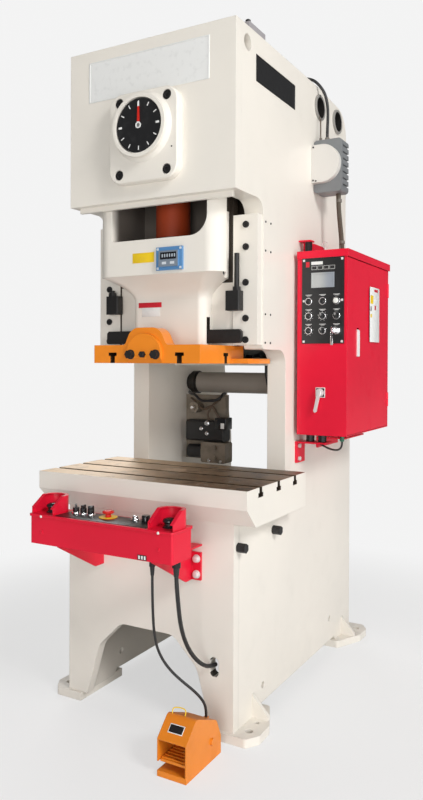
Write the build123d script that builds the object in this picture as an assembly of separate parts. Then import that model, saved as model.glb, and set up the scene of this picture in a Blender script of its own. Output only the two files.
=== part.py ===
from build123d import *

import os
from math import acos, cos, pi, radians, sin, sqrt, tan

# A gap-frame stamping press with a single crank, seen by its operator from -Y.
# Millimetres. The origin lies on the floor, midway between the four floor anchors.
# X runs to the operator's right, Y to the back of the press and Z up.

# Floor anchors
anchor_pitch_x = 770
anchor_pitch_y = 1110
anchor_hole_d = 28

# Welded frame
frame_width = 700
side_plate_t = 75
front_plate_t = 40
head_above_crank = 324
head_below_crank = 243
frame_depth = 1155
front_overhang = 47
head_lip = 19
column_gap = 33
bed_top = 728
bed_t = 45
foot_t = 30
base_gap = 20
column_reach = 213
upper_rear_step = 75
throat_fillet = 58
top_plate_t = 22

# Working space
bolster_width = 870
bolster_depth = 484
bolster_t = 127
bolster_band = 62.5
bolster_chamfer = 64
throat_gap = 2
stroke = 120
die_height = 284
ram_from_front = 169

# T-slots of the bolster and of the ram plate, at one pitch
slot_pitch = 142
slot_stem = 22
slot_head = 38
slot_stem_depth = 18
slot_head_depth = 15
plate_stem = 20
plate_stem_depth = 26
plate_head = 36
plate_head_depth = 12

# Drive
pin_d = 150
journal_d = 120
pin_length = 114
web_t = 40
gear_module = 8
gear_teeth = 58
pinion_teeth = 12
gear_face = 90
flywheel_gap = 25
flywheel_face = 110
pulley_d = 139
belt_count = 3
shaft_d = 60
motor_r = 105
motor_axis_h = 132
motor_plate_drop = 533
motor_plate_t = 20
running_fit = 0.05
clearance = 0.3

# Ram
ram_half = 262
ram_flange_half = 245
ram_tongue_half = 215
ram_block_half = 158
ram_front_reach = 124
ram_rear_reach = 138
ram_top_lap = 60
ram_plate_t = 65
ram_plate_half = 225
plate_flange_half = 296
plate_flange_t = 18
ball_seat_h = 316
ball_cover = 66
opening_left = 190
opening_right = 215
rod_r = 64
rod_length = 503
ball_r = 50
swing_clearance = 13

# Dial
dial_r = 93
snout_r = 110
flange_half = 144
flange_below_crank = 189
flange_above_crank = 129
flange_t = 34
snout_reach = 62

# Control cabinet
cabinet_x = (366, 566)
cabinet_y = (-115, 420)
cabinet_z = (986, 1687)
sheet_t = 4
cap_overhang = 6

# Two-hand button box
box_half = 286
box_y = (-880, -767)
box_z = (648, 740)
lid_t = 8
guard_height = 57
guard_front_h = 22
guard_flat = 52
guard_half = 47
guard_corner = 42
guard_rim = 12
guard_t = 3

# Foot pedal
pedal_x = (237, 341)
pedal_y = (-886, -670)
pedal_front_h = 116
pedal_top_h = 172
pedal_rear_h = 118
pedal_wall = 4
pedal_base_t = 18
pedal_slit_z = 46
pedal_slit_back = -762

# Cords
pedal_cord_d = 9
box_cord_d = 14

# Derived planes
frame_front = -anchor_pitch_y / 2 - front_overhang
frame_rear = frame_front + frame_depth
half_width = frame_width / 2
inner_half = half_width - side_plate_t
plate_back = frame_front + front_plate_t
column_front = frame_front + column_reach
upper_rear = frame_rear - upper_rear_step
ram_y = frame_front + ram_from_front
bolster_front = ram_y - bolster_depth / 2
throat_y = ram_y + bolster_depth / 2 + throat_gap
bolster_top = bed_top + bolster_t
crank_r = stroke / 2
ram_plate_bottom = bolster_top + die_height + stroke
ram_bottom = ram_plate_bottom + ram_plate_t
ball_z = ram_bottom + ball_seat_h
pin_z = ball_z + rod_length
crank_z = pin_z - crank_r
frame_height = crank_z + head_above_crank
head_bottom = crank_z - head_below_crank
ram_top = head_bottom + ram_top_lap
column_bottom = ram_plate_bottom + plate_flange_t + column_gap
flange_z = (crank_z - flange_below_crank, crank_z + flange_above_crank)
flywheel_d = 2 * (inner_half - flywheel_gap)
gear_pitch_r = gear_module * gear_teeth / 2
pinion_pitch_r = gear_module * pinion_teeth / 2
pinion_z = crank_z - gear_pitch_r - pinion_pitch_r

os.makedirs("parts", exist_ok=True)
parts = {}


def block(x, y, z):
    """A box between a pair of limits along each axis."""
    middle = [(low + high) / 2 for low, high in (x, y, z)]
    return Pos(*middle) * Box(x[1] - x[0], y[1] - y[0], z[1] - z[0])


def bar_x(r, x, y, z):
    """A round bar along X."""
    return Pos((x[0] + x[1]) / 2, y, z) * Rot(0, 90, 0) * Cylinder(r, x[1] - x[0])


def bar_y(r, x, y, z):
    """A round bar along Y."""
    return Pos(x, (y[0] + y[1]) / 2, z) * Rot(90, 0, 0) * Cylinder(r, y[1] - y[0])


def bar_z(r, x, y, z):
    """A round bar along Z."""
    return Pos(x, y, (z[0] + z[1]) / 2) * Cylinder(r, z[1] - z[0])


def slab_x(sketch, x):
    """A sketch drawn in Y and Z, as a plate between two places on X."""
    plane = Plane((x[0], 0, 0), x_dir=(0, 1, 0), z_dir=(1, 0, 0))
    return extrude(plane * sketch, amount=x[1] - x[0])


def slab_y(sketch, y):
    """A sketch drawn in X and Z, as a plate between two places on Y."""
    plane = Plane((0, y[1], 0), x_dir=(1, 0, 0), z_dir=(0, -1, 0))
    return extrude(plane * sketch, amount=y[1] - y[0])


def slab_z(sketch, z):
    """A sketch drawn in X and Y, as a plate between two heights."""
    return extrude(Pos(0, 0, z[0]) * sketch, amount=z[1] - z[0])


def outline(corners):
    """A closed outline from (u, v, radius) corners."""
    points = [(u, v) for u, v, _ in corners]
    radii = [radius for _, _, radius in corners]
    return make_face(FilletPolyline(*points, radius=radii, close=True))


def mirrored(shape):
    """The shape and its mirror image in the plane X = 0."""
    return [shape, mirror(shape, Plane.YZ)]


def hex_head(across, height):
    """A hexagon prism standing on Z = 0."""
    return extrude(RegularPolygon(across / sqrt(3), 6), amount=height)


def keep(name, *shapes):
    """Notes the solids of one sub-part under its name."""
    solids = []
    for shape in shapes:
        solids += list(shape.solids())
    parts[name] = solids[0] if len(solids) == 1 else Compound(children=solids)


# Side plates of the frame

lift_tube_r = 52
lift_hole_r = 42
lift_tube_z = frame_height - 82
lift_tube_y = (145, 354)
lift_tube_proud = 8
crane_hole_r = 27.5
crane_hole = (-517, frame_height - 57)
base_hole_r = 12
base_holes = ((-375, 110), (298, 146))
head_fillet = 50
rear_slope = (900, column_bottom - 60)
top_slope_y = 140
top_rear_z = frame_height - 22
oval_hole = (277, 239, 34, 67)
rail_z = (column_bottom + 16, head_bottom - head_fillet - 2)
guide_bolt_z = (
    rail_z[0] + 18, rail_z[0] + 94, (rail_z[0] + rail_z[1]) / 2 - 10, rail_z[1] - 115, rail_z[1] - 36,
)
guide_bolt_x = 300
guide_bolt_r = 9
guide_bolt_hole_depth = 30
stud_r = 15
stud_out = 32
stud_depth = 25
side_studs = ((-573, 645), (-293, 650))


def side_plate():
    """The right-hand plate: base, column and head, cut from one thick plate."""
    foot_inner = 180
    lift = foot_t + base_gap
    corners = [
        (plate_back, foot_t, 0),
        (frame_front + foot_inner, foot_t, 0),
        (frame_front + foot_inner + base_gap, lift, 0),
        (frame_rear - foot_inner - base_gap, lift, 0),
        (frame_rear - foot_inner, foot_t, 0),
        (frame_rear, foot_t, 0),
        (frame_rear, rear_slope[0], 200),
        (upper_rear, rear_slope[1], 200),
        (upper_rear, top_rear_z, 110),
        (top_slope_y, frame_height, 0),
        (plate_back, frame_height, 0),
        (plate_back, head_bottom, 0),
        (column_front, head_bottom, head_fillet),
        (column_front, column_bottom, 12),
        (throat_y, column_bottom, throat_fillet),
        (throat_y, bed_top, 0),
        (plate_back, bed_top, 0),
    ]
    x = (inner_half, half_width)
    plate = slab_x(outline(corners), x)
    for y in lift_tube_y:
        plate -= bar_x(lift_tube_r, x, y, lift_tube_z)
    plate -= bar_x(crane_hole_r, x, *crane_hole)
    for y, z in base_holes:
        plate -= bar_x(base_hole_r, x, y, z)
    for y, z in side_studs:
        plate -= bar_x(stud_r, (half_width - stud_depth, half_width), y, z)
    bolt_y = (column_front, column_front + guide_bolt_hole_depth)
    for z in guide_bolt_z:
        plate -= bar_y(guide_bolt_r, guide_bolt_x, bolt_y, z)
    hole_x, hole_z, hole_width, hole_height = oval_hole
    slot = Pos(hole_x, hole_z) * Rot(0, 0, 90) * SlotOverall(hole_height, hole_width)
    return plate - slab_y(slot, (plate_back, plate_back + side_plate_t))


right_plate, left_plate = mirrored(side_plate())
keep("side_plate_right", right_plate)
keep("side_plate_left", left_plate)


# Head: front plate, top plate, gear walls, gear pan, motor plate and lifting tubes

housing_hole_r = 100
mid_wall_y = (-280, -230)
gear_y = (-205, -205 + gear_face)
rear_wall_y = (-85, -35)
boss_r = 105
boss_y = (-330, -280)
bush_t = 10
gear_wall_bottom = pinion_z - 103
top_bar_x = (330, 350)
top_bar_y = (-506, -380)
top_bar_h = 20
gear_pan_t = 18
motor_plate_z = (pinion_z - motor_plate_drop - motor_plate_t, pinion_z - motor_plate_drop)
motor_plate_y = (15, 465)
rear_journal_d = 90


def head_plates():
    """The plates welded between and in front of the side plates at the head."""
    between = (-inner_half, inner_half)
    front_y = (frame_front, plate_back)
    front = block((-half_width, half_width), front_y, (head_bottom, frame_height))
    front += block((-half_width + 25, half_width - 25), (plate_back - 14, plate_back),
                   (head_bottom - head_lip, head_bottom))
    front -= bar_y(housing_hole_r, 0, front_y, crank_z)
    for x, z in housing_bolt_places():
        front -= bar_y(housing_bolt_r, x, front_y, z)
    under_top = frame_height - top_plate_t
    top = block(between, (plate_back, top_slope_y), (under_top, frame_height))
    top_bar = block(top_bar_x, top_bar_y, (frame_height, frame_height + top_bar_h))
    mid = block(between, mid_wall_y, (gear_wall_bottom, under_top))
    mid += bar_y(boss_r, 0, boss_y, crank_z)
    mid -= bar_y(journal_d / 2 + bush_t, 0, (boss_y[0], mid_wall_y[1]), crank_z)
    mid -= bar_y(shaft_d / 2 + running_fit, 0, mid_wall_y, pinion_z)
    rear = block(between, rear_wall_y, (gear_wall_bottom, under_top))
    rear -= bar_y(rear_journal_d / 2 + bush_t, 0, rear_wall_y, crank_z)
    rear -= bar_y(shaft_d / 2 + running_fit, 0, rear_wall_y, pinion_z)
    pan = block(between, (mid_wall_y[1], rear_wall_y[0]),
                (gear_wall_bottom, gear_wall_bottom + gear_pan_t))
    motor_plate = block(between, motor_plate_y, motor_plate_z)
    tubes = []
    tube_x = (-half_width - lift_tube_proud, half_width + lift_tube_proud)
    for y in lift_tube_y:
        tube = bar_x(lift_tube_r, tube_x, y, lift_tube_z)
        tubes.append(tube - bar_x(lift_hole_r, tube_x, y, lift_tube_z))
    return [front, top, top_bar, mid, rear, pan, motor_plate] + tubes


# Crank housing on the head front, with its dial

housing_bolt_x = 100
housing_bolt_dz = 32
housing_bolt_r = 10
housing_bolt_head = 16
housing_bolt_sink = 12
dial_depth = 8
crank_tail_r = 7
pointer_half = 5
pointer_tip_half = 2.5
pointer_reach = dial_r - 12
front_bush_y = (frame_front - 20, plate_back + 20)


def housing_bolt_places():
    """The four bolts of the crank housing."""
    heights = (flange_z[0] + housing_bolt_dz, flange_z[1] - housing_bolt_dz)
    return [(x, z) for x in (-housing_bolt_x, housing_bolt_x) for z in heights]


def crank_housing():
    """Rounded flange, drawn-out snout and the spigot that carries the front bush."""
    middle = (flange_z[0] + flange_z[1]) / 2
    height = flange_z[1] - flange_z[0]
    flange_y = (frame_front - flange_t, frame_front)
    face = Pos(0, middle) * RectangleRounded(2 * flange_half, height, 52)
    shape = slab_y(face, flange_y)
    shape = chamfer(shape.faces().sort_by(Axis.Y)[0].edges(), 4)
    snout_front = frame_front - snout_reach
    shape += bar_y(snout_r, 0, (snout_front, flange_y[0]), crank_z)
    root = Pos(0, flange_y[0], crank_z) * Rot(90, 0, 0)
    shape += root * Pos(0, 0, 6) * Cone(snout_r + 12, snout_r, 12)
    shape += bar_y(housing_hole_r - running_fit, 0, (frame_front, plate_back + 20), crank_z)
    shape -= bar_y(dial_r + 3, 0, (snout_front, snout_front + 30), crank_z)
    bush_seat = (front_bush_y[0], front_bush_y[1])
    shape -= bar_y(journal_d / 2 + bush_t, 0, bush_seat, crank_z)
    shape -= bar_y(crank_tail_r + 3, 0, (snout_front, bush_seat[0]), crank_z)
    for x, z in housing_bolt_places():
        shape -= bar_y(housing_bolt_r, x, flange_y, z)
        sink = (flange_y[0], flange_y[0] + housing_bolt_sink)
        shape -= bar_y(housing_bolt_head + 2, x, sink, z)
    return shape


def dial_face():
    """Disc in the snout, on a collar, with a hole for the crankshaft's tail."""
    front = frame_front - snout_reach + 5
    disc = bar_y(dial_r, 0, (front, front + dial_depth), crank_z)
    disc -= bar_y(crank_tail_r + 3, 0, (front, front + dial_depth), crank_z)
    seat = frame_front - snout_reach + 30
    back_y = (front + dial_depth, seat)
    collar = bar_y(crank_tail_r + 22, 0, back_y, crank_z)
    return disc + collar - bar_y(crank_tail_r + 3, 0, back_y, crank_z)


keep("head_plates", *head_plates())
keep("crank_housing", crank_housing())
keep("dial_face", dial_face())


def dial_pointer():
    """Tapered pointer on the end of the crankshaft, upright at the top of the stroke."""
    y = (frame_front - snout_reach + 1, frame_front - snout_reach + 4)
    hub = bar_y(crank_tail_r + 4, 0, y, crank_z)
    tip_z = crank_z + pointer_reach
    arm = make_face(Polyline(
        (-pointer_half, crank_z), (pointer_half, crank_z),
        (pointer_tip_half, tip_z), (-pointer_tip_half, tip_z), close=True,
    ))
    return hub + slab_y(arm, y) - bar_y(crank_tail_r, 0, y, crank_z)


keep("dial_pointer", dial_pointer())

bush_r = journal_d / 2 + bush_t
front_bush = bar_y(bush_r, 0, front_bush_y, crank_z)
front_bush -= bar_y(journal_d / 2 + running_fit, 0, front_bush_y, crank_z)
mid_bush = bar_y(bush_r, 0, (boss_y[0], mid_wall_y[1]), crank_z)
mid_bush -= bar_y(journal_d / 2 + running_fit, 0, (boss_y[0], mid_wall_y[1]), crank_z)
rear_bush = bar_y(rear_journal_d / 2 + bush_t, 0, rear_wall_y, crank_z)
rear_bush -= bar_y(rear_journal_d / 2 + running_fit, 0, rear_wall_y, crank_z)
keep("crank_bushes", front_bush, mid_bush, rear_bush)


# Base: arched front plate, rear plate, bed and its ribs

arch_half = 265
arch_knee = (208, 222)
arch_top_half = 112
arch_top = 317
rear_plate_z = (330, 690)
rib_x = 110
rib_drop = 190


def base_plates():
    """The plates welded between and in front of the side plates at the base."""
    between = (-inner_half, inner_half)
    front_y = (frame_front, plate_back)
    front = block((-half_width, half_width), front_y, (foot_t, bed_top))
    arch = outline([
        (-arch_half, foot_t - 1, 0),
        (-arch_knee[0], arch_knee[1], 70),
        (-arch_top_half, arch_top, 55),
        (arch_top_half, arch_top, 55),
        (arch_knee[0], arch_knee[1], 70),
        (arch_half, foot_t - 1, 0),
    ])
    front -= slab_y(arch, front_y)
    hole_x, hole_z, hole_width, hole_height = oval_hole
    slot = Pos(hole_x, hole_z) * Rot(0, 0, 90) * SlotOverall(hole_height, hole_width)
    front -= slab_y(slot, front_y)
    for y, z in side_studs:
        for x in ((-half_width, stud_depth - half_width), (half_width - stud_depth, half_width)):
            front -= bar_x(stud_r, x, y, z)
    rear = block(between, (frame_rear - front_plate_t, frame_rear), rear_plate_z)
    bed = block(between, (plate_back, throat_y), (bed_top - bed_t, bed_top))
    ribs = []
    for x in (-rib_x, rib_x):
        rib = outline([
            (plate_back, bed_top - bed_t, 0),
            (throat_y, bed_top - bed_t, 0),
            (throat_y, bed_top - bed_t - 60, 0),
            (plate_back, bed_top - bed_t - rib_drop, 0),
        ])
        ribs.append(slab_x(rib, (x - 10, x + 10)))
    return [front, rear, bed] + ribs


keep("base_plates", *base_plates())


# Feet welded under the side plates

foot_reach = 9
foot_corners = [
    (287, -612, 0),
    (400, -612, 18),
    (430, -565, 25),
    (428, -485, 20),
    (368, -354, 15),
    (287, -354, 0),
]
gusset_y = (-462, -446)
gusset_h = 80
gusset_reach = 62
leveller_hole = (384, -490, 8)


def foot():
    """One floor foot at the front right, with its gusset and anchor hole."""
    anchor_x, anchor_y = anchor_pitch_x / 2, -anchor_pitch_y / 2
    plate = slab_z(outline(foot_corners), (0, foot_t))
    plate -= bar_z(anchor_hole_d / 2, anchor_x, anchor_y, (0, foot_t))
    hole_x, hole_y, hole_r = leveller_hole
    plate -= bar_z(hole_r, hole_x, hole_y, (0, foot_t))
    gusset = make_face(Polyline(
        (half_width, foot_t), (half_width + gusset_reach, foot_t),
        (half_width + gusset_reach, foot_t + 12), (half_width, foot_t + gusset_h),
        close=True,
    ))
    return plate + slab_y(gusset, gusset_y)


front_feet = mirrored(foot())
rear_feet = [mirror(shape, Plane.XZ) for shape in front_feet]
keep("feet", *front_feet, *rear_feet)


# Bolster with three T-slots from side to side


def bolster():
    """Thick plate, chamfered below its front edge, with T-slots along X."""
    half = bolster_width / 2
    rear = bolster_front + bolster_depth
    side = make_face(Polyline(
        (bolster_front, bolster_top), (rear, bolster_top), (rear, bed_top),
        (bolster_front + bolster_chamfer, bed_top),
        (bolster_front, bolster_top - bolster_band), close=True,
    ))
    plate = slab_x(side, (-half, half))
    stem_bottom = bolster_top - slot_stem_depth
    for row in (-1, 0, 1):
        y = ram_y + row * slot_pitch
        stem = (y - slot_stem / 2, y + slot_stem / 2)
        head = (y - slot_head / 2, y + slot_head / 2)
        plate -= block((-half, half), stem, (stem_bottom, bolster_top))
        plate -= block((-half, half), head, (stem_bottom - slot_head_depth, stem_bottom))
    return plate


keep("bolster", bolster())


# Guide rails bolted to the column fronts

rail_front_t = 36
rail_half_out = 346
rail_lip_half = 248


def guide_rail():
    """Front plate of the right rail and the tongue that runs in the ram's groove."""
    front = column_front - rail_front_t
    tongue = (column_front + 4 + clearance, column_front + 54 - clearance)
    corners = [
        (rail_lip_half, front), (rail_half_out, front), (rail_half_out, column_front),
        (inner_half - clearance, column_front), (inner_half - clearance, tongue[1]),
        (ram_tongue_half + clearance, tongue[1]), (ram_tongue_half + clearance, tongue[0]),
        (rail_lip_half, tongue[0]),
    ]
    rail = slab_z(make_face(Polyline(*corners, close=True)), rail_z)
    for z in guide_bolt_z:
        rail -= bar_y(guide_bolt_r, guide_bolt_x, (front, column_front), z)
    return rail


keep("guide_rails", *mirrored(guide_rail()))


# Frame bolts: guide rails, crank housing and the studs on the base sides

guide_bolt_head_r = 12
guide_bolt_head = 5


def socket_bolt(r, head_r, head, x, face, z, grip):
    """Socket screw along Y with its head on the face and a hexagon socket."""
    screw = bar_y(head_r, x, (face - head, face), z)
    screw += bar_y(r - clearance, x, (face, face + grip), z)
    socket = Pos(x, face - head / 2, z) * Rot(-90, 0, 0) * hex_head(head_r, head)
    return screw - Pos(0, -head, 0) * socket


def frame_bolts():
    """Every bolt that shows on the frame."""
    bolts = []
    face = column_front - rail_front_t
    for side in (-1, 1):
        for z in guide_bolt_z:
            grip = rail_front_t + guide_bolt_hole_depth - 2
            bolts.append(socket_bolt(guide_bolt_r, guide_bolt_head_r, guide_bolt_head,
                                     side * guide_bolt_x, face, z, grip))
    face = frame_front - flange_t + housing_bolt_sink
    for x, z in housing_bolt_places():
        grip = flange_t - housing_bolt_sink + front_plate_t
        bolts.append(socket_bolt(housing_bolt_r, housing_bolt_head, housing_bolt_sink - 2,
                                 x, face, z, grip))
    for y, z in side_studs:
        stud = bar_x(stud_r - clearance, (half_width - stud_depth, half_width), y, z)
        head = Pos(half_width, y, z) * Rot(0, 90, 0) * hex_head(1.9 * stud_r, stud_out)
        bolts += mirrored(stud + head)
    return bolts


keep("frame_bolts", *frame_bolts())


# Crankshaft, with its axis from front to back

tail_front = frame_front - snout_reach + 2
front_web_y = (ram_y - pin_length / 2 - web_t, ram_y - pin_length / 2)
rear_web_y = (ram_y + pin_length / 2, ram_y + pin_length / 2 + web_t)
web_r = 82
gear_seat_d = 120


def crankshaft():
    """Tail for the pointer, front journal, two webs, crankpin and gear seat."""
    shaft = bar_y(crank_tail_r, 0, (tail_front, front_bush_y[0] + 1), crank_z)
    shaft += bar_y(journal_d / 2, 0, (front_bush_y[0] + 1, front_web_y[0]), crank_z)
    web = make_hull(
        (Pos(0, crank_z) * Circle(web_r + 8)).edges()
        + (Pos(0, pin_z) * Circle(web_r)).edges()
    )
    for web_y in (front_web_y, rear_web_y):
        shaft += slab_y(web, web_y)
    shaft += bar_y(pin_d / 2, 0, (front_web_y[1], rear_web_y[0]), pin_z)
    shaft += bar_y(journal_d / 2, 0, (rear_web_y[1], mid_wall_y[1] + 5), crank_z)
    shaft += bar_y(gear_seat_d / 2, 0, (mid_wall_y[1] + 5, gear_y[1]), crank_z)
    shaft += bar_y(rear_journal_d / 2, 0, (gear_y[1], rear_wall_y[1] + 4), crank_z)
    return shaft


keep("crankshaft", crankshaft())


# Gears

backlash = 0.5
pressure_angle = radians(20)
flank_steps = 3


def gear_outline(teeth, first_tooth):
    """Involute spur gear in the plane, with a tooth centred on first_tooth (radians)."""
    pitch_r = gear_module * teeth / 2
    base_r = pitch_r * cos(pressure_angle)
    tip_r = pitch_r + gear_module * 0.94
    root_r = pitch_r - gear_module * 1.25
    start_r = max(base_r, root_r + 0.5)
    at_pitch = tan(pressure_angle) - pressure_angle
    half_tooth = pi / (2 * teeth) - backlash / (2 * pitch_r)
    flank = []
    for step in range(flank_steps + 1):
        r = start_r + (tip_r - start_r) * step / flank_steps
        angle = acos(min(1.0, base_r / r))
        flank.append((r, half_tooth + at_pitch - (tan(angle) - angle)))
    points = []
    for tooth in range(teeth):
        middle = first_tooth + 2 * pi * tooth / teeth
        side = [(root_r, flank[0][1])] + flank
        for r, turn in side:
            points.append((r * cos(middle - turn), r * sin(middle - turn)))
        for r, turn in reversed(side):
            points.append((r * cos(middle + turn), r * sin(middle + turn)))
    return make_face(Polyline(*points, close=True))


def main_gear():
    """Toothed rim, thinner web with lightening holes, and a hub on the crankshaft."""
    wheel = slab_y(Pos(0, crank_z) * gear_outline(gear_teeth, -pi / 2), gear_y)
    rim_r = gear_pitch_r - 45
    hub_r = gear_seat_d / 2 + 30
    for recess in ((gear_y[0], gear_y[0] + 25), (gear_y[1] - 25, gear_y[1])):
        wheel -= bar_y(rim_r, 0, recess, crank_z) - bar_y(hub_r, 0, recess, crank_z)
    hole_ring = (rim_r + hub_r) / 2
    for turn in range(6):
        angle = radians(60 * turn)
        x, z = hole_ring * cos(angle), crank_z + hole_ring * sin(angle)
        wheel -= bar_y(26, x, gear_y, z)
    return wheel - bar_y(gear_seat_d / 2, 0, gear_y, crank_z)


keep("main_gear", main_gear())


# Pinion shaft, flywheel, brake, motor, pulley and belts

flywheel_y = (75, 75 + flywheel_face)
brake_y = (-35, 45)
brake_r = 165
pinion_shaft_y = (mid_wall_y[0] + 4, flywheel_y[1] + 30)
motor_z = motor_plate_z[1] + motor_axis_h
belt_pitch = 28
belt_w = 16
belt_t = 11
groove_w = 17
groove_depth = 13
belt_first = flywheel_y[0] + (flywheel_face - (belt_count - 1) * belt_pitch) / 2


def belt_rows():
    """The middle of each belt groove along Y."""
    return [belt_first + belt_pitch * row for row in range(belt_count)]


def pinion_shaft():
    """Pinion cut in one piece with its shaft, and the clutch disc at the flywheel."""
    y = (gear_y[0] - 5, gear_y[1] + 5)
    gap_centre = pi / 2 - pi / pinion_teeth
    shaft = slab_y(Pos(0, pinion_z) * gear_outline(pinion_teeth, gap_centre), y)
    shaft += bar_y(shaft_d / 2, 0, pinion_shaft_y, pinion_z)
    shaft += bar_y(120, 0, (flywheel_y[1] + 6, flywheel_y[1] + 22), pinion_z)
    return shaft


def grooved_wheel(diameter, z, bore_r, y):
    """A belt wheel along Y with one groove for each belt."""
    wheel = bar_y(diameter / 2, 0, y, z)
    for row in belt_rows():
        groove = (row - groove_w / 2, row + groove_w / 2)
        wheel -= bar_y(diameter, 0, groove, z) - bar_y(diameter / 2 - groove_depth, 0, groove, z)
    return wheel - bar_y(bore_r, 0, y, z)


def flywheel():
    """Heavy rim with belt grooves and a dished web."""
    wheel = grooved_wheel(flywheel_d, pinion_z, shaft_d / 2 + running_fit, flywheel_y)
    inner_r, hub_r = flywheel_d / 2 - 60, shaft_d / 2 + 45
    for dish in ((flywheel_y[0], flywheel_y[0] + 32), (flywheel_y[1] - 32, flywheel_y[1])):
        wheel -= bar_y(inner_r, 0, dish, pinion_z) - bar_y(hub_r, 0, dish, pinion_z)
    return wheel


def motor_body():
    """Finned motor barrel on feet, with end bells, terminal box and fan cowl."""
    y = (flywheel_y[1] + 30, flywheel_y[1] + 275)
    body = bar_y(motor_r, 0, y, motor_z)
    for turn in range(18):
        fin = block((-3, 3), (y[0] + 25, y[1] - 55), (motor_r - 2, motor_r + 14))
        body += Pos(0, 0, motor_z) * Rot(0, 20 * turn, 0) * fin
    body -= block((-200, 200), y, (motor_plate_z[1] - 60, motor_plate_z[1] + 4))
    for x in (-95, 95):
        body += block((x - 22, x + 22), (y[0] + 40, y[1] - 80), (motor_plate_z[1], motor_z - 60))
    body += block((-55, 55), (y[0] + 60, y[0] + 160), (motor_z + motor_r - 8, motor_z + motor_r + 42))
    return body - bar_y(20, 0, (y[0], y[0] + 40), motor_z)


def motor_pulley():
    """Pulley with the motor shaft pressed in it, turning as one."""
    pulley = grooved_wheel(pulley_d, motor_z, 19, flywheel_y)
    shaft_y = (flywheel_y[0] - 6, flywheel_y[1] + 66)
    return pulley + bar_y(19, 0, shaft_y, motor_z)


def belt(y):
    """One endless belt round flywheel and pulley."""
    seat_big = flywheel_d / 2 - groove_depth + clearance
    seat_small = pulley_d / 2 - groove_depth + clearance
    loops = []
    for grow in (belt_t, 0):
        big = (Pos(0, pinion_z) * Circle(seat_big + grow)).edges()
        small = (Pos(0, motor_z) * Circle(seat_small + grow)).edges()
        loops.append(slab_y(make_hull(big + small), (y - belt_w / 2, y + belt_w / 2)))
    return loops[0] - loops[1]


def brake_housing():
    """Ring of the brake unit bolted to the rear gear wall, with cooling ribs."""
    ring = bar_y(brake_r, 0, brake_y, pinion_z)
    for groove in (brake_y[0] + 20, brake_y[0] + 45):
        cut = (groove, groove + 10)
        ring -= bar_y(brake_r + 5, 0, cut, pinion_z) - bar_y(brake_r - 15, 0, cut, pinion_z)
    return ring - bar_y(shaft_d / 2 + 2, 0, brake_y, pinion_z)


keep("pinion_shaft", pinion_shaft())
keep("flywheel", flywheel())
keep("brake_housing", brake_housing())
keep("motor_body", motor_body())
keep("motor_pulley", motor_pulley())
keep("v_belts", *[belt(row) for row in belt_rows()])


# Rear cover over the flywheel and the motor

cover_z = (rear_slope[1] + 12, frame_height - 177)
cover_half = 325
cover_t = 3
louvre_rows = 7


def rear_cover():
    """Flat sheet across the rear edges of the side plates, with louvre slots."""
    y = (upper_rear + 1, upper_rear + 1 + cover_t)
    sheet = block((-cover_half, cover_half), y, cover_z)
    for x in (-120, 120):
        for row in range(louvre_rows):
            slot = Pos(x, motor_z + 18 + 36 * row) * SlotOverall(150, 12)
            sheet -= slab_y(slot, y)
    for x in (-1, 1):
        for z in (cover_z[0] + 120, cover_z[1] - 40):
            sheet += bar_y(9, x * (cover_half - 20), (y[1], y[1] + 5), z)
            sheet += bar_y(6, x * (cover_half - 20), (upper_rear, y[0]), z)
    return sheet


keep("rear_cover", rear_cover())


# Connecting rod, cap and ball screw

big_end_r = 105
rod_y = (ram_y - pin_length / 2 + 2, ram_y + pin_length / 2 - 2)
opening_floor = ball_z + ball_cover
rod_bottom = opening_floor + swing_clearance + 2
screw_r = 38


def rod_halves():
    """The forged big end, split level with the crankpin, and the rod barrel."""
    ring = bar_y(big_end_r, 0, rod_y, pin_z)
    barrel_top = pin_z - crank_r - web_r - 14
    barrel = bar_z(rod_r, 0, ram_y, (rod_bottom, barrel_top))
    neck_z = (barrel_top - 40, pin_z - pin_d / 2 - 20)
    neck = Pos(0, ram_y, (neck_z[0] + neck_z[1]) / 2) * Cone(rod_r, rod_r + 24, neck_z[1] - neck_z[0])
    neck &= block((-rod_r - 24, rod_r + 24), rod_y, neck_z)
    cheeks = block((-big_end_r - 20, big_end_r + 20), (rod_y[0] + 18, rod_y[1] - 18),
                   (pin_z - 36, pin_z + 36))
    whole = ring + barrel + neck + cheeks
    whole -= bar_y(pin_d / 2 + running_fit, 0, rod_y, pin_z)
    whole -= bar_z(screw_r, 0, ram_y, (rod_bottom, ball_z + 200))
    lower = whole & block((-200, 200), (rod_y[0] - 200, rod_y[1] + 200), (0, pin_z - clearance))
    upper = whole & block((-200, 200), (rod_y[0] - 200, rod_y[1] + 200), (pin_z, pin_z + 400))
    for x in (-big_end_r - 4, big_end_r + 4):
        upper += bar_z(14, x, ram_y, (pin_z + 30, pin_z + 50))
    return lower, upper


def ball_screw():
    """Adjusting screw that ends in the ball, with its locking collar."""
    screw = bar_z(screw_r, 0, ram_y, (ball_z, ball_z + 200))
    screw += Pos(0, ram_y, ball_z) * Sphere(ball_r)
    return screw + bar_z(screw_r + 16, 0, ram_y, (rod_bottom - 16, rod_bottom))


rod_lower, rod_upper = rod_halves()
keep("connecting_rod", rod_lower)
keep("rod_cap", rod_upper)
keep("ball_screw", ball_screw())


# Ram: one casting with the rod opening, blended underside and guide grooves

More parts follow.
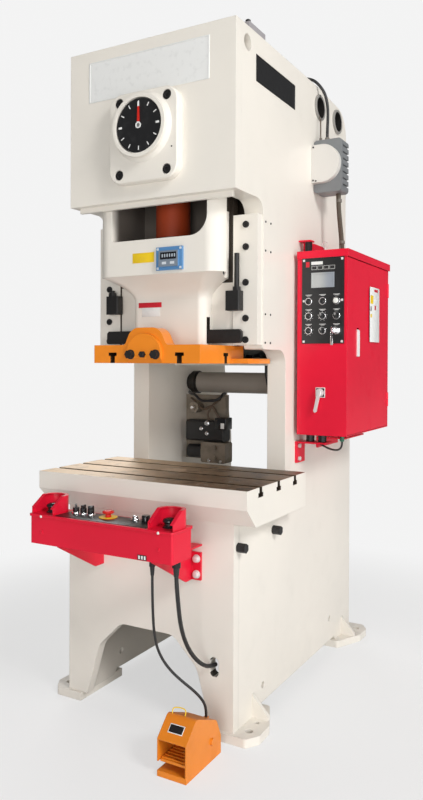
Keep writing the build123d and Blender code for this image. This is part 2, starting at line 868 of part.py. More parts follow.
ram_front = ram_y - ram_front_reach
ram_rear = ram_y + ram_rear_reach
ram_flange_front = column_front - rail_front_t + 6
ram_waist_half = 232
ram_waist_y = (column_front - 110, column_front - 77)
ram_blend_z = (ram_bottom + 168, ram_bottom + 254)
ram_blend_steps = 4
ram_block_front = ram_y - 42
ram_head_corner = 56
ram_block_corner = 30
groove_y = (column_front + 4, column_front + 54)
ball_pocket_floor = ball_z - ball_r - swing_clearance
opening_corner = 70
opening_inner_y = ram_flange_front - 6
bar_z_low = ram_bottom + 8
bar_h = 49
bar_lift = 45
bar_half = 294
bar_y_place = (-450, -435)
window_z = (bar_z_low - clearance, bar_z_low + bar_h + bar_lift + clearance)


def ram_section(share, z):
    """Outline of the ram's front part at one height; share 0 is the lower block, 1 the head."""
    half = ram_block_half + (ram_half - ram_block_half) * share
    front = ram_block_front + (ram_front - ram_block_front) * share
    corner = ram_block_corner + (ram_head_corner - ram_block_corner) * share
    section = outline([
        (-half, ram_flange_front, 0), (-half, front, corner),
        (half, front, corner), (half, ram_flange_front, 0),
    ])
    return Pos(0, 0, z) * section


def ram_body():
    """The cast ram: head, hollow blend below it, lower block and guided flange."""
    ram = extrude(ram_section(1, ram_blend_z[1]), amount=ram_top - ram_blend_z[1])
    ram += extrude(ram_section(0, ram_bottom), amount=ram_blend_z[0] - ram_bottom)
    sections = []
    for step in range(ram_blend_steps + 1):
        rise = step / ram_blend_steps
        z = ram_blend_z[0] + (ram_blend_z[1] - ram_blend_z[0]) * rise
        sections.append(ram_section(rise * rise, z))
    ram += loft(sections)
    # The waist behind the head, past the lips of the guide rails
    for side in (-1, 1):
        waist = make_face(Polyline(
            (side * (ram_half + 1), ram_waist_y[0] - 1), (side * ram_half, ram_waist_y[0]),
            (side * ram_waist_half, ram_waist_y[1]), (side * ram_waist_half, ram_flange_front),
            (side * (ram_half + 1), ram_flange_front), close=True,
        ))
        ram -= slab_z(waist, (ram_bottom, ram_top))
    rear_y = (ram_flange_front, ram_rear)
    ram += block((-ram_flange_half, ram_flange_half), rear_y, (ram_bottom, ram_top))
    # Opening for the connecting rod, open at the top
    over = ram_top + 1
    front_opening = outline([
        (-opening_left, opening_floor, 6), (opening_right, opening_floor, opening_corner),
        (opening_right, over, 0), (-opening_left, over, 0),
    ])
    ram -= slab_y(front_opening, (ram_front - 1, opening_inner_y))
    inner_opening = outline([
        (-opening_left, opening_floor, 6), (opening_left, opening_floor, opening_corner),
        (opening_left, over, 0), (-opening_left, over, 0),
    ])
    ram -= slab_y(inner_opening, (opening_inner_y, ram_y + 90))
    pocket_half = crank_r + ball_r + 12
    pocket = Pos(0, ram_y) * SlotOverall(2 * pocket_half, 2 * ball_r + 22)
    ram -= slab_z(pocket, (ball_pocket_floor, opening_floor + 1))
    # Grooves for the rail tongues
    for side in (-1, 1):
        x = sorted((side * ram_tongue_half, side * (ram_flange_half + 1)))
        ram -= block(x, groove_y, (ram_bottom, ram_top))
    # Window for the knock-out bar
    window_y = (bar_y_place[0] - 3, bar_y_place[1] + 3)
    return ram - block((-ram_half, ram_half), window_y, window_z)


# Ram plate with T-slots and the half-round tool clamp

plate_front = frame_front - 13
plate_flange_y = (column_front - 8, throat_y - 24)
shank_r = 25
lug_depth = 55
lug_top = ram_plate_bottom + 126
lug_corners = ((-108, 0, 0), (-88, 0, 18), (-60, 1, 50), (60, 1, 50), (88, 0, 18), (108, 0, 0))
clamp_proud = 12
clamp_sink = 24
clamp_r = 74
clamp_z = ram_plate_bottom + 31
clamp_front = plate_front - clamp_proud
clamp_back = plate_front + clamp_sink
clamp_chamfer = 20
clamp_bolt_x = 53
clamp_bolt_r = 11
clamp_washer_r = 17
clamp_bolt_grip = 38
set_screw_r = 8


def ram_plate():
    """Plate under the ram: thick with a thin flange at the back, and a round lug in front."""
    plate = block((-ram_plate_half, ram_plate_half), (plate_front, ram_rear),
                  (ram_plate_bottom, ram_bottom))
    plate += block((-plate_flange_half, plate_flange_half), plate_flange_y,
                   (ram_plate_bottom, ram_plate_bottom + plate_flange_t))
    lug = [(x, (ram_bottom - 1, lug_top)[level], radius) for x, level, radius in lug_corners]
    lug.append((lug_corners[-1][0], ram_bottom - 20, 0))
    lug.append((lug_corners[0][0], ram_bottom - 20, 0))
    plate += slab_y(outline(lug), (plate_front, plate_front + lug_depth))
    stem_top = ram_plate_bottom + plate_stem_depth
    stem_z = (ram_plate_bottom, stem_top)
    head_z = (stem_top, stem_top + plate_head_depth)
    along = (plate_front, plate_flange_y[1])
    across = (-ram_plate_half, ram_plate_half)
    for x in (-slot_pitch, slot_pitch):
        plate -= block((x - plate_stem / 2, x + plate_stem / 2), along, stem_z)
        plate -= block((x - plate_head / 2, x + plate_head / 2), along, head_z)
    plate -= block(across, (ram_y - plate_stem / 2, ram_y + plate_stem / 2), stem_z)
    plate -= block(across, (ram_y - plate_head / 2, ram_y + plate_head / 2), head_z)
    plate -= bar_z(shank_r, 0, ram_y, (ram_plate_bottom, ram_bottom))
    plate -= bar_y(clamp_r + clearance, 0, (plate_front, clamp_back), clamp_z)
    for x in (-clamp_bolt_x, clamp_bolt_x):
        plate -= bar_y(clamp_bolt_r, x, (clamp_back, clamp_back + clamp_bolt_grip + 2), clamp_z)
    return plate - bar_y(set_screw_r, 0, (clamp_back, ram_y), clamp_z)


def clamp_cap():
    """Half-round tool clamp let into the lug, cut flat and chamfered below."""
    back = clamp_back - clearance
    cap = bar_y(clamp_r, 0, (clamp_front, back), clamp_z)
    cap -= block((-clamp_r, clamp_r), (clamp_front, back), (clamp_z - clamp_r, ram_plate_bottom))
    wedge = make_face(Polyline(
        (clamp_front - 1, ram_plate_bottom - 1), (clamp_front + clamp_chamfer, ram_plate_bottom - 1),
        (clamp_front - 1, ram_plate_bottom + clamp_chamfer), close=True,
    ))
    cap -= slab_x(wedge, (-clamp_r, clamp_r))
    for x in (-clamp_bolt_x, clamp_bolt_x):
        cap -= bar_y(clamp_bolt_r, x, (clamp_front, back), clamp_z)
    return cap - bar_y(set_screw_r, 0, (clamp_front, back), clamp_z)


def clamp_bolts():
    """Two clamp bolts with washers and the long set screw between them."""
    bolts = []
    for x in (-clamp_bolt_x, clamp_bolt_x):
        bolt = Pos(x, clamp_front, clamp_z) * Rot(90, 0, 0) * hex_head(27, 18)
        bolt += bar_y(clamp_washer_r, x, (clamp_front - 4, clamp_front), clamp_z)
        grip = (clamp_front, clamp_back + clamp_bolt_grip)
        bolt += bar_y(clamp_bolt_r - clearance, x, grip, clamp_z)
        bolts.append(bolt)
    screw = bar_y(set_screw_r - clearance, 0, (clamp_front - 14, ram_y - shank_r), clamp_z)
    screw += Pos(0, clamp_front - 2, clamp_z) * Rot(90, 0, 0) * hex_head(21, 10)
    bolts.append(screw)
    return bolts


keep("ram_plate", ram_plate())
keep("clamp_cap", clamp_cap())
keep("clamp_bolts", *clamp_bolts())


# Stroke counter on the ram front

counter_x = (13, 122)
counter_z = (ram_blend_z[1] + 11, ram_blend_z[1] + 93)


def stroke_counter():
    """Clear cover frame over a small display, on a backing plate."""
    face = ram_front
    case = block(counter_x, (face - 10, face), counter_z)
    glass = ((counter_x[0] + 14, counter_x[1] - 14), (counter_z[0] + 12, counter_z[1] - 14))
    case += block(glass[0], (face - 16, face - 10), glass[1])
    for x in (counter_x[0] + 7, counter_x[1] - 7):
        for z in (counter_z[0] + 7, counter_z[1] - 7):
            case += bar_y(4, x, (face - 12, face - 10), z)
    return case


keep("stroke_counter", stroke_counter())


# Knock-out bar in the ram and its stops on the guide rails

stop_x = (236, 291)
stop_gap = 21
stop_h = 70
stop_z = (bar_z_low + bar_h + bar_lift + stop_gap, bar_z_low + bar_h + bar_lift + stop_gap + stop_h)
stop_depth = 37
stop_rod_x = 273
stop_rod_r = 9
stop_rod_tops = (stop_z[1] + 23, stop_z[1] + 133)


def knockout_bar():
    """Flat bar through the ram window."""
    bar = block((-bar_half, bar_half), bar_y_place, (bar_z_low, bar_z_low + bar_h))
    return chamfer(bar.edges().filter_by(Axis.Y), 8)


def knockout_stops():
    """Bracket blocks with their stop screws and lock nuts, the right one longer."""
    shapes = []
    back = column_front - rail_front_t
    rod_place = back - stop_depth / 2
    for side, top in ((1, stop_rod_tops[1]), (-1, stop_rod_tops[0])):
        x = sorted((side * stop_x[0], side * stop_x[1]))
        shape = block(x, (back - stop_depth, back), stop_z)
        shape = chamfer(shape.edges().filter_by(Axis.Z), 3)
        shape += bar_z(stop_rod_r, side * stop_rod_x, rod_place, (stop_z[1], top))
        nut = Pos(side * stop_rod_x, rod_place, stop_z[1]) * hex_head(28, 14)
        shapes.append(shape + nut)
    return shapes


keep("knockout_bar", knockout_bar())
keep("knockout_stops", *knockout_stops())


# Counterbalance cylinders hung from the head, with their rods on the ram

balance_x = 228
balance_y = ram_y + 30
balance_r = 34
balance_rod_r = 10
balance_z = (ram_top + 30, frame_height - top_plate_t)


def balance_cylinder():
    """Closed cylinder hung under the top plate."""
    tube = bar_z(balance_r, balance_x, balance_y, balance_z)
    bore = (balance_z[0] + 14, balance_z[1] - 30)
    tube -= bar_z(balance_r - 6, balance_x, balance_y, bore)
    return tube - bar_z(balance_rod_r + clearance, balance_x, balance_y, (balance_z[0], bore[0]))


def balance_rod():
    """Piston rod screwed into the ram top."""
    piston_z = (balance_z[0] + stroke + 40, balance_z[0] + stroke + 70)
    rod = bar_z(balance_rod_r, balance_x, balance_y, (ram_top, piston_z[1]))
    return rod + bar_z(balance_r - 6 - clearance, balance_x, balance_y, piston_z)


keep("balance_cylinders", *mirrored(balance_cylinder()))
keep("ram_body", ram_body(), *mirrored(balance_rod()))


# Control cabinet on the right side

rain_lip = 25
panel_x = (386, 555)
panel_z = (1336, 1662)
panel_t = 3
door_gap = 1.5
door_inset = 14
door_t = 3


def cabinet_shell():
    """Folded sheet cabinet, open on its right side, under an overhanging cap."""
    outer = block(cabinet_x, cabinet_y, cabinet_z)
    inner = block((cabinet_x[0] + sheet_t, cabinet_x[1] + 1),
                  (cabinet_y[0] + sheet_t, cabinet_y[1] - sheet_t),
                  (cabinet_z[0] + sheet_t, cabinet_z[1] - sheet_t))
    shell = outer - inner
    rim_y = (cabinet_y[0] + sheet_t, cabinet_y[0] + door_inset + 12)
    rim_x = cabinet_x[1] - door_t - clearance
    shell += block((rim_x - 3, rim_x), rim_y,
                   (cabinet_z[0] + sheet_t, cabinet_z[1] - sheet_t))
    cap = block((cabinet_x[0], cabinet_x[1] + cap_overhang),
                (cabinet_y[0] - cap_overhang, cabinet_y[1] + cap_overhang),
                (cabinet_z[1], cabinet_z[1] + 3))
    cap += block((cabinet_x[0], cabinet_x[1] + cap_overhang),
                 (cabinet_y[0] - cap_overhang, cabinet_y[0]),
                 (cabinet_z[1] - rain_lip, cabinet_z[1]))
    cap += block((cabinet_x[1] + 1.5, cabinet_x[1] + cap_overhang),
                 (cabinet_y[0] - cap_overhang, cabinet_y[1] + cap_overhang),
                 (cabinet_z[1] - rain_lip, cabinet_z[1]))
    shell += cap
    for x, z in control_places():
        shell -= bar_y(button_hole_r, x, (cabinet_y[0] - 1, cabinet_y[0] + sheet_t), z)
    shell -= bar_y(lock_r, lock_place[0], (cabinet_y[0] - 1, cabinet_y[0] + sheet_t), lock_place[1])
    # Hinge knuckles with their pins, on tabs of the back wall
    for z in hinge_z:
        shell += bar_z(hinge_r, *hinge_place, (z, z + knuckle_h))
        shell += block((hinge_place[0] - 3, hinge_place[0]), (hinge_place[1], cabinet_y[1] - sheet_t),
                       (z, z + knuckle_h))
        shell += bar_z(hinge_pin_r, *hinge_place, (z, z + 2 * knuckle_h))
    return shell


def cabinet_door():
    """Side door on two hinges at the cabinet's back, with a slot for its handle."""
    y = (cabinet_y[0] + sheet_t + door_gap, hinge_place[1])
    z = (cabinet_z[0] + sheet_t + door_gap, cabinet_z[1] - rain_lip - door_gap)
    door = block((cabinet_x[1] - door_t, cabinet_x[1]), y, z)
    door -= block((cabinet_x[1] - door_t, cabinet_x[1]),
                  (handle_y - handle_half - clearance, handle_y + handle_half + clearance),
                  (handle_z[0] - 1, handle_z[1] + 6))
    for z in hinge_z:
        door -= block((cabinet_x[1] - door_t, cabinet_x[1]),
                      (hinge_place[1] - hinge_r - 1, hinge_place[1]),
                      (z - clearance, z + knuckle_h + clearance))
        knuckle = (z + knuckle_h + clearance, z + 2 * knuckle_h)
        door += bar_z(hinge_r, *hinge_place, knuckle)
        door -= bar_z(hinge_pin_r + running_fit, *hinge_place, knuckle)
    return door


control_columns = (414, 470, 526)
control_rows = (1385, 1441, 1497)
button_hole_r = 11.5
button_r = 11
lock_place = (462, 1150)
lock_r = 9
handle_y = 12
handle_z = (1288, 1393)
handle_half = 12.2
handle_pivot_r = 7.5
hinge_place = (cabinet_x[1] + 0.5, cabinet_y[1] - sheet_t - 6)
hinge_r = 5
hinge_pin_r = 2.5
hinge_z = (1075, 1545)
knuckle_h = 30


def control_places():
    """Places of the panel controls, by rows from the bottom."""
    return [(x, z) for z in control_rows for x in control_columns]


def control_panel():
    """Black panel plate with display frame, lamp and fixing screws."""
    face = cabinet_y[0]
    plate = block(panel_x, (face - panel_t, face), panel_z)
    for x, z in control_places():
        plate -= bar_y(button_hole_r, x, (face - panel_t, face), z)
    screen_z = (1548, 1606)
    plate += block((424, 518), (face - panel_t - 2, face - panel_t), screen_z)
    plate -= block((430, 512), (face - panel_t - 2, face - panel_t + 1),
                   (screen_z[0] + 6, screen_z[1] - 6))
    plate += block((424, 520), (face - panel_t - 2, face - panel_t), (1616, 1632))
    for x in (panel_x[0] + 8, panel_x[1] - 8):
        for z in (panel_z[0] + 8, (panel_z[0] + panel_z[1]) / 2, panel_z[1] - 8):
            plate += bar_y(4, x, (face - panel_t - 2, face - panel_t), z)
    lamp_x, lamp_z = control_columns[2], control_rows[2]
    lamp = bar_y(button_r, lamp_x, (face - panel_t - 9, face + 12), lamp_z)
    return plate + lamp + bar_y(14, lamp_x, (face - panel_t - 3, face - panel_t), lamp_z)


def push_button(x, z):
    """Round push button with its stem through the panel."""
    face = cabinet_y[0] - panel_t
    return bar_y(button_r, x, (face - 9, face + 14), z)


def selector(x, z):
    """Round selector with a raised grip bar."""
    face = cabinet_y[0] - panel_t
    knob = bar_y(button_r, x, (face - 8, face + 14), z)
    return knob + block((x - 3, x + 3), (face - 18, face - 8), (z - 10, z + 10))


def key_switch(x, z):
    """Lock barrel with the key standing in it."""
    face = cabinet_y[0] - panel_t
    barrel = bar_y(button_r, x, (face - 8, face + 14), z)
    key = block((x - 1.5, x + 1.5), (face - 30, face - 8), (z - 6, z + 6))
    bow = bar_x(12, (x - 1.5, x + 1.5), face - 34, z)
    return barrel + key + bow


def lock_lever():
    """Latch handle on the front: round stem, square plate and a hanging lever."""
    face = cabinet_y[0]
    x, z = lock_place
    lever = bar_y(lock_r - clearance, x, (face - 12, face + 22), z)
    lever += bar_y(15, x, (face - 12, face - clearance), z)
    arm = block((-6, 6), (face - 20, face - 12), (-78, 12))
    arm = chamfer(arm.edges().filter_by(Axis.Y), 5)
    lever += Pos(x, 0, z) * Rot(0, 12, 0) * arm
    return lever + block((x - 18, x + 18), (face + sheet_t + 10, face + sheet_t + 13), (z - 6, z + 6))


def door_handle():
    """Flush swing handle of the side door, round at its pivot."""
    y = (handle_y - handle_half, handle_y + handle_half)
    x = (cabinet_x[1] + 4 - 2 * handle_pivot_r, cabinet_x[1] + 4)
    pivot_z = handle_z[1] - handle_pivot_r
    handle = block(x, y, (handle_z[0], pivot_z))
    return handle + bar_y(handle_pivot_r, x[0] + handle_pivot_r, y, pivot_z)


keep("cabinet_shell", cabinet_shell())
keep("cabinet_door", cabinet_door())
keep("door_handle", door_handle())
keep("control_panel", control_panel())
keep("lock_lever", lock_lever())
places = control_places()
keep("panel_button_1", push_button(*places[6]))
keep("panel_button_2", push_button(*places[7]))
keep("panel_button_3", push_button(*places[3]))
keep("panel_button_4", push_button(*places[0]))
keep("panel_selector_1", selector(*places[4]))
keep("panel_selector_2", selector(*places[5]))
keep("panel_selector_3", selector(*places[1]))
keep("key_switch", key_switch(*places[2]))


# Brackets and rubber mounts that carry the cabinet

mount_r = 16
top_mount_y = -48
lower_mount_y = (-60, 305)


def cabinet_supports():
    """Angle brackets on the side plate, with a rubber mount on each."""
    shapes = []
    shelf_z = (950, 956)
    for y, drop, length in ((-54, 84, 82), (250, 46, 240)):
        side = block((half_width, half_width + 8), (y - length / 2, y + length / 2),
                     (shelf_z[1] - drop, shelf_z[1]))
        side += block((half_width, cabinet_x[1] - 90), (y - length / 2, y + length / 2), shelf_z)
        for dz in (18, drop - 16):
            side += bar_x(8, (half_width + 8, half_width + 16), y - length / 4, shelf_z[1] - dz)
        shapes.append(side)
    for y in lower_mount_y:
        for x in (400, 450):
            shapes.append(bar_z(mount_r, x, y, (shelf_z[1], cabinet_z[0])))
    top = cabinet_z[1] + 3
    lug_z = (top, top + 46)
    strap = block((half_width, half_width + 6), (top_mount_y + 30, top_mount_y + 240), (top + 4, top + 60))
    shapes.append(strap)
    shapes.append(block((half_width + 6, half_width + 34), (top_mount_y + 55, top_mount_y + 61), lug_z))
    shapes.append(bar_z(14, 384, top_mount_y, lug_z))
    shapes.append(block((half_width, 400), (top_mount_y - 20, top_mount_y + 20), (top + 46, top + 52)))
    eye = Pos(380, top_mount_y + 262, top + 30) * Rot(0, 90, 0) * Torus(19, 5)
    shapes.append(eye + bar_z(6, 380, top_mount_y + 262, (top, top + 12)))
    return shapes


keep("cabinet_supports", *cabinet_supports())


# Cam switch unit high on the right side

cam_y = (85, 170)
cam_x = (half_width, 470)
cam_z = (crank_z - 126, crank_z + 88)
cam_corner = 14
cam_cover_z = (cam_z[0] + 37, cam_z[1] - 24)
cam_cover_x = 468
cam_cover_t = 25
cam_fins = 7


def cam_switch():
    """Finned box with a D-shaped cover on its front."""
    body = block(cam_x, cam_y, cam_z)
    body = fillet(body.edges().filter_by(Axis.Y), cam_corner)
    pitch = (cam_z[1] - cam_z[0] - 4 * cam_corner) / (cam_fins - 1)
    for fin in range(cam_fins):
        z = cam_z[0] + 2 * cam_corner + pitch * fin
        body -= block((cam_x[1] - 8, cam_x[1]), (cam_y[0] + 16, cam_y[1]), (z - 4, z + 4))
    cover_y = (cam_y[0] - cam_cover_t, cam_y[0])
    round_r = (cam_cover_z[1] - cam_cover_z[0]) / 2 - 2
    cover = outline([
        (half_width, cam_cover_z[0], 0), (cam_cover_x, cam_cover_z[0], round_r),
        (cam_cover_x, cam_cover_z[1], round_r), (half_width, cam_cover_z[1], 0),
    ])
    return body + slab_y(cover, cover_y)


keep("cam_switch", cam_switch())


# Air tank across the back of the throat

tank_r = 46
tank_z = column_bottom - 138
tank_y = 155


def air_tank():
    """Round tank between the side plates, with end caps and a strap bar below."""
    tank = bar_x(tank_r, (-inner_half + 30, inner_half - 30), tank_y, tank_z)
    for side in (-1, 1):
        x = sorted((side * (inner_half - 30), side * inner_half))
        tank += bar_x(tank_r - 8, x, tank_y, tank_z)
        cap = sorted((side * (inner_half - 44), side * (inner_half - 20)))
        tank += bar_x(tank_r + 6, cap, tank_y, tank_z)
    return tank


valve_back = tank_y - 40
bracket_z = (tank_z - 342, tank_z - 54)
regulator_x = -206
regulator_z = tank_z - 110
upper_valve = ((-235, -49), (tank_z - 255, tank_z - 165))
lower_valve = ((-161, -38), (tank_z - 350, tank_z - 260))
silencer_r = 30


def valve_block():
    """Air valves on the left side plate: bracket, regulator, two valves and a silencer."""
    right = -60
    shapes = block((-inner_half, right), (valve_back, valve_back + 10), bracket_z)
    shapes += block((right - 90, right), (valve_back - 22, valve_back), (regulator_z - 22, regulator_z + 48))
    shapes += bar_y(24, regulator_x, (valve_back - 52, valve_back), regulator_z)
    shapes += bar_y(13, regulator_x, (valve_back - 64, valve_back - 52), regulator_z)
    body = block(upper_valve[0], (valve_back - 68, valve_back), upper_valve[1])
    shapes += chamfer(body.edges().filter_by(Axis.X), 8)
    lower = block(lower_valve[0], (valve_back - 64, valve_back), lower_valve[1])
    shapes += fillet(lower.edges().filter_by(Axis.Y), 9)
    middle = (lower_valve[1][0] + lower_valve[1][1]) / 2
    shapes += bar_x(silencer_r, (upper_valve[0][0] + 3, lower_valve[0][0]), valve_back - 38, middle + 1)
    for port in (-22, 22):
        shapes += bar_y(10, -88, (valve_back - 78, valve_back - 64), middle + port)
    return shapes


keep("air_tank", air_tank())
keep("valve_block", valve_block())


# Two-hand button box in front of the bolster

arm_x = (188, 228)
arm_z = (525, 620)
palm_inset = 48
palm_x = box_half - palm_inset
palm_y = -822
palm_r = 22
estop_x = -10
estop_y = -810
box_lamp = (90, -795)
lamp_r = 11
box_control_x = (-150, -118, -86)
box_control_y = -805
box_control_r = 10
box_screw_inset = 51
box_screw_x = box_half - box_screw_inset
box_screw_z = 690


def button_box():
    """Box with an overhanging lid, small controls and a cable gland below."""
    shell = block((-box_half, box_half), box_y, box_z)
    shell = fillet(shell.edges().filter_by(Axis.Z), 6)
    shell -= block((-box_half + 4, box_half - 4), (box_y[0] + 4, box_y[1] - 4),
                   (box_z[0] + 4, box_z[1] + 1))
    lid = block((-box_half - 4, box_half + 4), (box_y[0] - 4, box_y[1] + 4),
                (box_z[1], box_z[1] + lid_t))
    lid = fillet(lid.edges().filter_by(Axis.Z), 8)
    shell += lid
    top = (box_z[1], box_z[1] + lid_t)
    for x in (-palm_x, palm_x):
        shell -= bar_z(palm_r + 1, x, palm_y, top)
    shell -= bar_z(11, estop_x, estop_y, top)
    lid_top = top[1]
    shell += bar_z(30, estop_x, estop_y, (lid_top, lid_top + 3)) - bar_z(
        11, estop_x, estop_y, (lid_top, lid_top + 3)
    )
    shell += bar_z(lamp_r, *box_lamp, (lid_top, lid_top + 12))
    for x in box_control_x:
        shell += bar_z(box_control_r, x, box_control_y, (lid_top, lid_top + 11))
    for x in (-box_screw_x, box_screw_x):
        shell += bar_y(5, x, (box_y[0] - 3, box_y[0]), box_screw_z)
    shell += bar_z(10, *pedal_gland, (gland_end, box_z[0]))
    shell += bar_z(14, *box_gland, (gland_end, box_z[0]))
    return shell


def button_guard():
    """Bent guard round the right palm button: round behind, open to the operator's hand."""
    lid_top = box_z[1] + lid_t
    x = (palm_x - guard_half, palm_x + guard_half)
    y = (box_y[0] + 6, box_y[1] - 2)

    def plan(inset, front):
        """The guard's plan, drawn in by one amount all round."""
        return outline([
            (x[0] + inset, front, 0), (x[1] - inset, front, 0),
            (x[1] - inset, y[1] - inset, guard_corner - inset),
            (x[0] + inset, y[1] - inset, guard_corner - inset),
        ])

    def under(drop):
        """The space under the sloping top, lowered by one amount."""
        side = make_face(Polyline(
            (y[0] - 20, lid_top), (y[1], lid_top), (y[1], lid_top + guard_height - drop),
            (y[1] - guard_flat, lid_top + guard_height - drop),
            (y[0], lid_top + guard_front_h - drop), (y[0] - 20, lid_top + guard_front_h - drop),
            close=True,
        ))
        return slab_x(side, x)

    tall = (lid_top, lid_top + guard_height)
    wall = slab_z(plan(0, y[0]), tall) & under(0)
    wall -= slab_z(plan(guard_t, y[0] - 1), tall) & under(guard_t)
    return wall - slab_z(plan(guard_rim, y[0] - 1), tall)


def palm_button(side):
    """Mushroom palm button in the box lid."""
    lid_top = box_z[1] + lid_t
    stem = bar_z(palm_r, side * palm_x, palm_y, (lid_top - 34, lid_top + 18))
    return stem + Pos(side * palm_x, palm_y, lid_top + 24) * Cone(palm_r, palm_r - 8, 12)


def estop_button():
    """Emergency stop: stem, mushroom head."""
    lid_top = box_z[1] + lid_t
    stem = bar_z(10, estop_x, estop_y, (lid_top - 24, lid_top + 16))
    head = Pos(estop_x, estop_y, lid_top + 21) * Cone(20, 17, 10)
    return stem + head


def box_brackets():
    """Two brackets from the base front to the underside of the box."""
    shapes = []
    for side in (-1, 1):
        x = sorted((side * arm_x[0], side * arm_x[1]))
        foot_y = (frame_front - 8, frame_front)
        arm = block(x, foot_y, arm_z)
        edge = (x[0], x[0] + 6) if side > 0 else (x[1] - 6, x[1])
        web = make_face(Polyline(
            (foot_y[0], arm_z[0]), (foot_y[0], box_z[0]), (box_y[0] + 30, box_z[0]),
            (box_y[0] + 30, box_z[0] - 12), (foot_y[0] - 40, arm_z[0]), close=True,
        ))
        arm += slab_x(web, edge)
        arm += block(x, (box_y[0] + 30, frame_front), (box_z[0] - 6, box_z[0]))
        for z in (arm_z[0] + 20, arm_z[1] - 22):
            bolt_x = (x[0] + x[1]) / 2 + side * 4
            arm += Pos(bolt_x, foot_y[0], z) * Rot(90, 0, 0) * hex_head(19, 9)
        shapes.append(arm)
    return shapes


pedal_gland = (176, -825)
box_gland_inset = 36
box_gland = (box_half - box_gland_inset, -800)
gland_end = box_z[0] - 30
keep("button_box", button_box())
keep("button_guards", *mirrored(button_guard()))
keep("palm_button_left", palm_button(-1))
keep("palm_button_right", palm_button(1))
keep("estop_button", estop_button())
keep("box_brackets", *box_brackets())


# Foot pedal on the floor

treadle_pivot = (-730, 62)
treadle_t = 8
pin_r = 4


def pedal_housing():
    """Hooded housing on a thick base, open in front and low on its left side."""
    side = outline([
        (pedal_y[0], 0, 0), (pedal_y[1], 0, 0), (pedal_y[1], pedal_rear_h - 60, 20),
        (pedal_y[1] - 30, pedal_rear_h, 20), (pedal_y[0] + 60, pedal_top_h, 18),
        (pedal_y[0], pedal_front_h, 6),
    ])
    hood = slab_x(side, pedal_x)
    cavity = outline([
        (pedal_y[0] - 1, pedal_base_t, 0), (pedal_y[1] - 40, pedal_base_t, 0),
        (pedal_y[1] - 40, pedal_rear_h - 30, 15), (pedal_y[0] + 60, pedal_top_h - 8, 14),
        (pedal_y[0] - 1, pedal_front_h - 5, 0),
    ])
    hood -= slab_x(cavity, (pedal_x[0] + pedal_wall, pedal_x[1] - pedal_wall))
    hood -= block((pedal_x[0], pedal_x[0] + pedal_wall), (pedal_y[0], pedal_slit_back),
                  (pedal_base_t, pedal_slit_z))
    hood += bar_x(11, (pedal_x[1], pedal_x[1] + 6), treadle_pivot[0], treadle_pivot[1])
    hood -= bar_x(pin_r + running_fit, pedal_x, *treadle_pivot)
    hood += bar_z(9, pedal_entry[0], pedal_entry[1], (pedal_rear_h - 20, pedal_entry[2]))
    return hood


def treadle():
    """Foot treadle with its pivot pin, ribbed on top."""
    x = (pedal_x[0] + pedal_wall + 3, pedal_x[1] - pedal_wall - 3)
    y, z = treadle_pivot
    plate = block(x, (pedal_y[0] + 8, y), (44, 44 + treadle_t))
    for rib in range(6):
        rib_y = pedal_y[0] + 16 + 16 * rib
        plate += block(x, (rib_y, rib_y + 6), (44 + treadle_t, 44 + treadle_t + 3))
    plate += block(x, (y - 14, y + 14), (44, z + 12))
    return plate + bar_x(pin_r, (pedal_x[0], pedal_x[1]), y, z)


pedal_entry = (304, -702, 120)
keep("pedal_housing", pedal_housing())
keep("treadle", treadle())


# Cords: straight runs joined by arcs as large as the runs allow


def cord(name, d, points):
    """A round cord along the points; its length and radii are printed."""
    runs = [Vector(b) - Vector(a) for a, b in zip(points, points[1:])]
    radii = []
    for before, after in zip(runs, runs[1:]):
        turn = radians(before.get_angle(after))
        shorter = min(before.length, after.length)
        radii.append(0.45 * shorter / tan(turn / 2))
    path = FilletPolyline(*points, radius=radii)
    start = Plane(origin=path @ 0, z_dir=path % 0)
    tube = sweep(start * Circle(d / 2), path=path)
    ratio = tube.volume / (pi * d * d / 4 * path.length)
    print(name, "length", round(path.length), "radii", [round(r) for r in radii],
          "volume ratio", round(ratio, 4))
    return tube


pedal_route = [
    (*pedal_gland, gland_end), (*pedal_gland, 560), (174, -820, 505), (171, -812, 450),
    (167, -800, 396), (168, -784, 343), (181, -767, 298), (205, -752, 262), (236, -737, 232),
    (267, -721, 205), (292, -709, 178), (304, -702, 150), pedal_entry,
]
box_route = [
    (*box_gland, gland_end), (*box_gland, 580), (252, -796, 530), (250, -785, 480),
    (246, -768, 430), (244, -746, 382), (246, -720, 336), (252, -690, 296),
    (261, -656, 264), (269, -622, 246), (271, frame_front + 22, 240),
]
keep("pedal_cable", cord("pedal_cable", pedal_cord_d, pedal_route))
keep("box_cable", cord("box_cable", box_cord_d, box_route))


# Hoses that the frame holds: tank hose, switch conduit and the hose over the head

hose_foot = (262, 79, 880)
tank_hose_route = [
    (150, 70, motor_plate_z[0]), (150, 70, 1210), (159, 72, 1160), (178, 74, 1105),
    (205, 72, 1052), (233, 74, 998), (253, 77, 948), (262, 79, 914), hose_foot,
]
conduit_route = [
    (440, 140, cam_z[0]), (440, 140, 1905), (445, 142, 1845), (450, 146, 1785),
    (452, 150, 1735), (452, 150, cabinet_z[1] + 3),
]
head_hose_route = [
    (388, 140, cam_z[1]), (388, 140, 2226), (391, 139, 2280), (391, 133, 2330),
    (382, 125, 2374), (366, 117, 2402), (345, 108, 2426), (318, 101, 2438), (288, 97, 2441),
]
head_socket = block((258, 288), (83, 111), (frame_height, frame_height + 45))
hose_socket = block((hose_foot[0] - 16, inner_half), (hose_foot[1] - 15, hose_foot[1] + 15),
                    (hose_foot[2] - 34, hose_foot[2]))
hoses = [
    cord("tank_hose", 18, tank_hose_route),
    cord("conduit", 16, conduit_route),
    cord("head_hose", 12, head_hose_route),
]
keep("hoses", *hoses, hose_socket, head_socket)

for name, shape in parts.items():
    export_step(shape, f"parts/{name}.step")
print(len(parts), "sub-parts")
